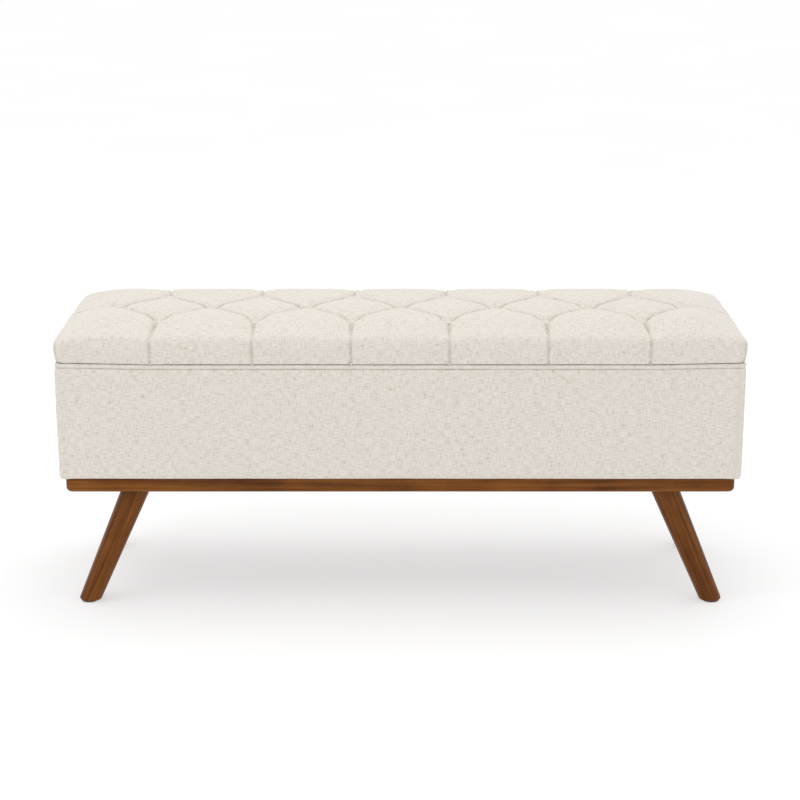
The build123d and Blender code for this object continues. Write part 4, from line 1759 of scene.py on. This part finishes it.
@dataclass
class FlatCloth:
    """A thin panel of cloth with turned edges, gently uneven between them."""

    name: str
    low: Vector
    high: Vector
    material: bpy.types.Material
    seed: int
    wave: float = 0.4 * MM
    cell: float = 11 * MM
    stitched: float = 9 * MM

    def build(self) -> bpy.types.Object:
        """Makes the panel as a thin closed sheet.

        Returns:
            The piece.
        """
        size = np.array(self.high) - np.array(self.low)
        thin = int(np.argmin(size))
        a, b = [k for k in range(3) if k != thin]
        lines = [self.line(self.low[k], self.high[k]) for k in (a, b)]
        na, nb = len(lines[0]), len(lines[1])
        ga, gb = np.meshgrid(*lines, indexing="ij")
        middle = (self.low[thin] + self.high[thin]) / 2
        edge = np.minimum.reduce([ga - ga.min(), ga.max() - ga, gb - gb.min(), gb.max() - gb])
        thick = size[thin] / 2 * (0.35 + 0.65 * ease(edge / (2.5 * MM)))
        stitch = 0.22 * size[thin] * np.exp(-(((edge - self.stitched) / (1.8 * MM)) ** 2))
        loose = ease(edge / (25 * MM))
        shift = self.wave * Ripple(self.seed, 0.30, 0.06, 8)(ga, gb) * loose
        points = np.zeros((2, na, nb, 3))
        for side, sign in enumerate((-1, 1)):
            points[side, ..., a], points[side, ..., b] = ga, gb
            points[side, ..., thin] = middle + sign * (thick - stitch) + shift
        faces: Faces = []
        flipped = thin == 1

        def at(side: int, i: int, j: int) -> int:
            """The number of a grid point on one side."""
            return (side * na + i) * nb + j

        def quad(*corners: int) -> None:
            """Adds a face, turned round where the grid is left-handed."""
            faces.append(tuple(reversed(corners)) if flipped else corners)

        for i in range(na - 1):
            for j in range(nb - 1):
                quad(at(1, i, j), at(1, i + 1, j), at(1, i + 1, j + 1), at(1, i, j + 1))
                quad(at(0, i, j), at(0, i, j + 1), at(0, i + 1, j + 1), at(0, i + 1, j))
            quad(at(0, i, 0), at(0, i + 1, 0), at(1, i + 1, 0), at(1, i, 0))
            quad(at(1, i, nb - 1), at(1, i + 1, nb - 1), at(0, i + 1, nb - 1), at(0, i, nb - 1))
        for j in range(nb - 1):
            quad(at(1, 0, j), at(1, 0, j + 1), at(0, 0, j + 1), at(0, 0, j))
            quad(at(0, na - 1, j), at(0, na - 1, j + 1), at(1, na - 1, j + 1), at(1, na - 1, j))
        obj = piece(self.name, points.reshape(-1, 3), faces, self.material, 60)
        flat = np.stack([ga, gb], -1).reshape(-1, 2)
        lay_cloth_by_point(obj, np.concatenate([flat, flat]))
        return obj

    def line(self, start: float, end: float) -> np.ndarray:
        """Spaces the grid across the panel, closer at its hem.

        Args:
            start: Where the panel starts.
            end: Where it ends.

        Returns:
            The lines' places.
        """
        count = max(2, round((end - start - 24 * MM) / self.cell))
        inner = np.linspace(start + 12 * MM, end - 12 * MM, count)
        near = np.array([0.0, 1.2, 3.0, 6.6, 9.0]) * MM
        return np.concatenate([start + near, inner, end - near[::-1]])


# ---------------------------------------------------------------- wood and hardware


class Dressing:
    """Materials of parts that keep the frame's own shapes."""

    by_name: dict[str, bpy.types.Material]

    def dress(self, nodes: dict[str, bpy.types.Object]) -> list[str]:
        """Gives each part its material.

        Args:
            nodes: The frame's nodes.

        Returns:
            The names of the parts dressed.
        """
        for name, material in self.by_name.items():
            slots = nodes[name].material_slots
            if not slots:
                nodes[name].data.materials.append(material)
            for slot in slots:
                slot.material = material
        return sorted(self.by_name)


class Woodwork(Dressing):
    """Materials of the wood parts."""

    def __init__(self, palette: Palette) -> None:
        """Names the material of each part.

        Args:
            palette: The materials.
        """
        p = palette
        self.by_name = {
            "plinth_front_rail": p.walnut_long, "plinth_back_rail": p.walnut_long,
            "plinth_left_rail": p.walnut_deep, "plinth_right_rail": p.walnut_deep,
            "plinth_middle_rail": p.walnut_deep,
            "leg_front_left": p.walnut_left, "leg_back_left": p.walnut_left,
            "leg_front_right": p.walnut_right, "leg_back_right": p.walnut_right,
            "box_front_panel": p.ply_front, "box_back_panel": p.ply_front,
            "box_left_panel": p.ply_end, "box_right_panel": p.ply_end,
            "box_floor_board": p.ply_flat, "lid_board": p.ply_flat,
            "rim_rail_front": p.pine_long, "rim_rail_back": p.pine_long,
            "rim_rail_left": p.pine_deep, "rim_rail_right": p.pine_deep,
            "corner_posts": p.pine_up, "stay_backing_blocks": p.pine_up,
        }


class Hardware(Dressing):
    """Materials of the metal, rubber, plastic and hidden soft parts."""

    def __init__(self, palette: Palette) -> None:
        """Names the material of each part.

        Args:
            palette: The materials.
        """
        p = palette
        self.by_name = {
            "leg_hanger_bolts": p.zinc, "leg_insert_nuts": p.zinc, "frame_screws": p.zinc,
            "base_hardware_screws": p.zinc, "lid_hardware_screws": p.zinc, "button_anchors": p.zinc,
            "hinge_pins": p.hinge, "button_ties": p.twine, "rim_bumpers": p.rubber,
            "leg_glides": p.plastic, "box_wadding": p.wadding, "lid_foam": p.foam,
        }
        for side in ("left", "centre", "right"):
            self.by_name[f"hinge_{side}_box_leaf"] = self.by_name[f"hinge_{side}_lid_leaf"] = p.hinge
        for side in ("left", "right"):
            for part in ("arm", "bracket", "damper", "link"):
                self.by_name[f"stay_{side}_{part}"] = p.black


# ---------------------------------------------------------------- studio


@dataclass
class Studio:
    """A white sweep, a soft key from above and the left, fill, and the camera."""

    distance: float = 3.282
    eye: float = 1.269
    aside: float = -0.0005
    pitch: float = 16.247
    lens: float = 90.0
    floor_reach: float = 40.0
    surround: float = 0.95

    def build(self) -> None:
        """Sets up the floor, lights, world and camera."""
        self.floor()
        self.world()
        self.area("front", (0.0, -3.4, 1.3), (0.0, 0.0, 0.25), 0.7, 5)
        self.area("key", (-1.6, -0.9, 2.6), (0.0, 0.0, 0.4), 1.2, 9)
        self.area("top", (0.4, 0.7, 3.0), (0.0, 0.0, 0.4), 2.0, 13)
        self.camera()

    def floor(self) -> None:
        """The pale floor."""
        g = Graph("studio_floor")
        cloud = g.noise(g.stretch(g.place(), (1.5, 1.5, 1.5)), 2.0)
        material = g.finish(
            Base_Color=g.ramp(cloud, (0.3, (0.50, 0.50, 0.50)), (0.7, (0.52, 0.52, 0.52))),
            Roughness=0.85,
            Specular_IOR_Level=0.05,
            Emission_Color=(1.0, 1.0, 1.0, 1.0),
            Emission_Strength=0.50,
        )
        far = self.floor_reach
        corners = [(-far, -far, 0), (far, -far, 0), (far, far, 0), (-far, far, 0)]
        mesh = bpy.data.meshes.new("floor")
        mesh.from_pydata(corners, [], [(0, 1, 2, 3)])
        mesh.materials.append(material)
        obj = bpy.data.objects.new("floor", mesh)
        bpy.context.scene.collection.objects.link(obj)

    def world(self) -> None:
        """An even white surround."""
        world = bpy.data.worlds.new("studio")
        world.use_nodes = True
        back = world.node_tree.nodes["Background"]
        back.inputs["Color"].default_value = (1.0, 1.0, 1.0, 1.0)
        back.inputs["Strength"].default_value = self.surround
        bpy.context.scene.world = world

    def area(self, name: str, place: Point, aim: Point, size: float, power: float) -> None:
        """One soft light.

        Args:
            name: The light's name.
            place: Where it stands.
            aim: What it points at.
            size: Its width.
            power: Its power in watts.
        """
        light = bpy.data.lights.new(name, "AREA")
        light.shape = "DISK"
        light.size = size
        light.energy = power
        obj = bpy.data.objects.new(name, light)
        obj.location = place
        obj.rotation_euler = (Vector(aim) - Vector(place)).to_track_quat("-Z", "Y").to_euler()
        bpy.context.scene.collection.objects.link(obj)

    def camera(self) -> None:
        """The camera, level and square to the front."""
        lens = bpy.data.cameras.new("camera")
        lens.lens = self.lens
        obj = bpy.data.objects.new("camera", lens)
        obj.location = (self.aside, -self.distance, self.eye)
        obj.rotation_euler = (math.radians(90 - self.pitch), 0, 0)
        bpy.context.scene.collection.objects.link(obj)
        bpy.context.scene.camera = obj
        bpy.context.scene.view_settings.view_transform = "Standard"


# ---------------------------------------------------------------- the bench


class Bench:
    """The whole bench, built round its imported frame."""

    def __init__(self, frame: dict[str, object]) -> None:
        """Makes the materials and reads what the pieces share.

        Args:
            frame: The loaded frame.
        """
        self.nodes = frame["nodes"]
        self.palette = Palette()
        self.room = HingeRoom.from_frame()
        solids = islands(self.nodes["tuft_buttons"])
        self.buttons = np.array([(g.min(0) + g.max(0)) / 2 for g in solids])

    def add(self, obj: bpy.types.Object, body: str, slot: str, *stands_for: str) -> bpy.types.Object:
        """Puts a finished piece on its body in place of its nodes, and reports it.

        Args:
            obj: The piece.
            body: The body that it rides on.
            slot: Not used.
            *stands_for: The nodes that it takes the place of.

        Returns:
            The piece.
        """
        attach(obj, body)
        if stands_for:
            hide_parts(*stands_for)
        log.info("%s: %d faces, rides on %s", obj.name, len(obj.data.polygons), body)
        return obj

    def build_lid(self) -> None:
        """The tufted lid, its buttons, and the cloth under it."""
        linen = self.palette.linen
        cover = TuftedLid(linen, self.room, self.buttons).build()
        lid = self.add(cover, "lid", "linen_cloth", "lid_cover", "lid_foam")
        self.add(CoveredButtons(linen, self.buttons).build(), "lid", "linen_cloth", "tuft_buttons")
        low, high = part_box("lid_cloth")
        spread, thick = Vector((3 * MM, 3 * MM, 0)), Vector((0, 0, 0.35 * MM))
        start, end = low - spread - thick, high + spread - 2.4 * thick
        cloth = FlatCloth("cloth_under_lid", start, end, self.palette.lining, 61, 0.25 * MM)
        self.sheet(cloth, "lid", "lining_cloth", "lid_cloth")

    def build_box(self) -> None:
        """The box's cover, welt, rim cloth, linings and dust cloth."""
        linen = self.palette.linen
        cover = self.add(BoxCover(linen).build(), "base", "linen_cloth", "box_cover", "box_wadding")
        self.add(RimWelt(linen, self.room).build(), "base", "linen_cloth", "rim_welt")
        self.add(RimStrip(linen).build(), "base", "linen_cloth", "rim_strip")
        for k, side in enumerate(("front", "back", "left", "right", "floor")):
            node = f"lining_{side}"
            panel = FlatCloth(f"{node}_cloth", *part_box(node), self.palette.lining, 71 + k, 0.3 * MM)
            self.sheet(panel, "base", "lining_cloth", node)
        dust = FlatCloth("dust_cloth_under", *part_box("dust_cloth"), self.palette.dust, 83, 0.2 * MM)
        self.sheet(dust, "base", "dust_cloth", "dust_cloth")

    def sheet(self, cloth: FlatCloth, body: str, slot: str, node: str) -> None:
        """Adds a flat cloth.

        Args:
            cloth: The cloth.
            body: The body that it rides on.
            slot: Not used; it is only handed on to add.
            node: The node that it takes the place of.
        """
        obj = self.add(cloth.build(), body, slot, node)

    def dress_frame(self) -> None:
        """Materials for everything that keeps the frame's shape."""
        for name in Woodwork(self.palette).dress(self.nodes) + Hardware(self.palette).dress(self.nodes):
            log.info("%s: dressed", name)


def main() -> None:
    logging.basicConfig(level=logging.INFO, format="%(name)s: %(message)s")
    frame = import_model()
    bench = Bench(frame)
    bench.build_lid()
    bench.build_box()
    bench.dress_frame()
    Studio().build()


if __name__ == "__main__":
    main()
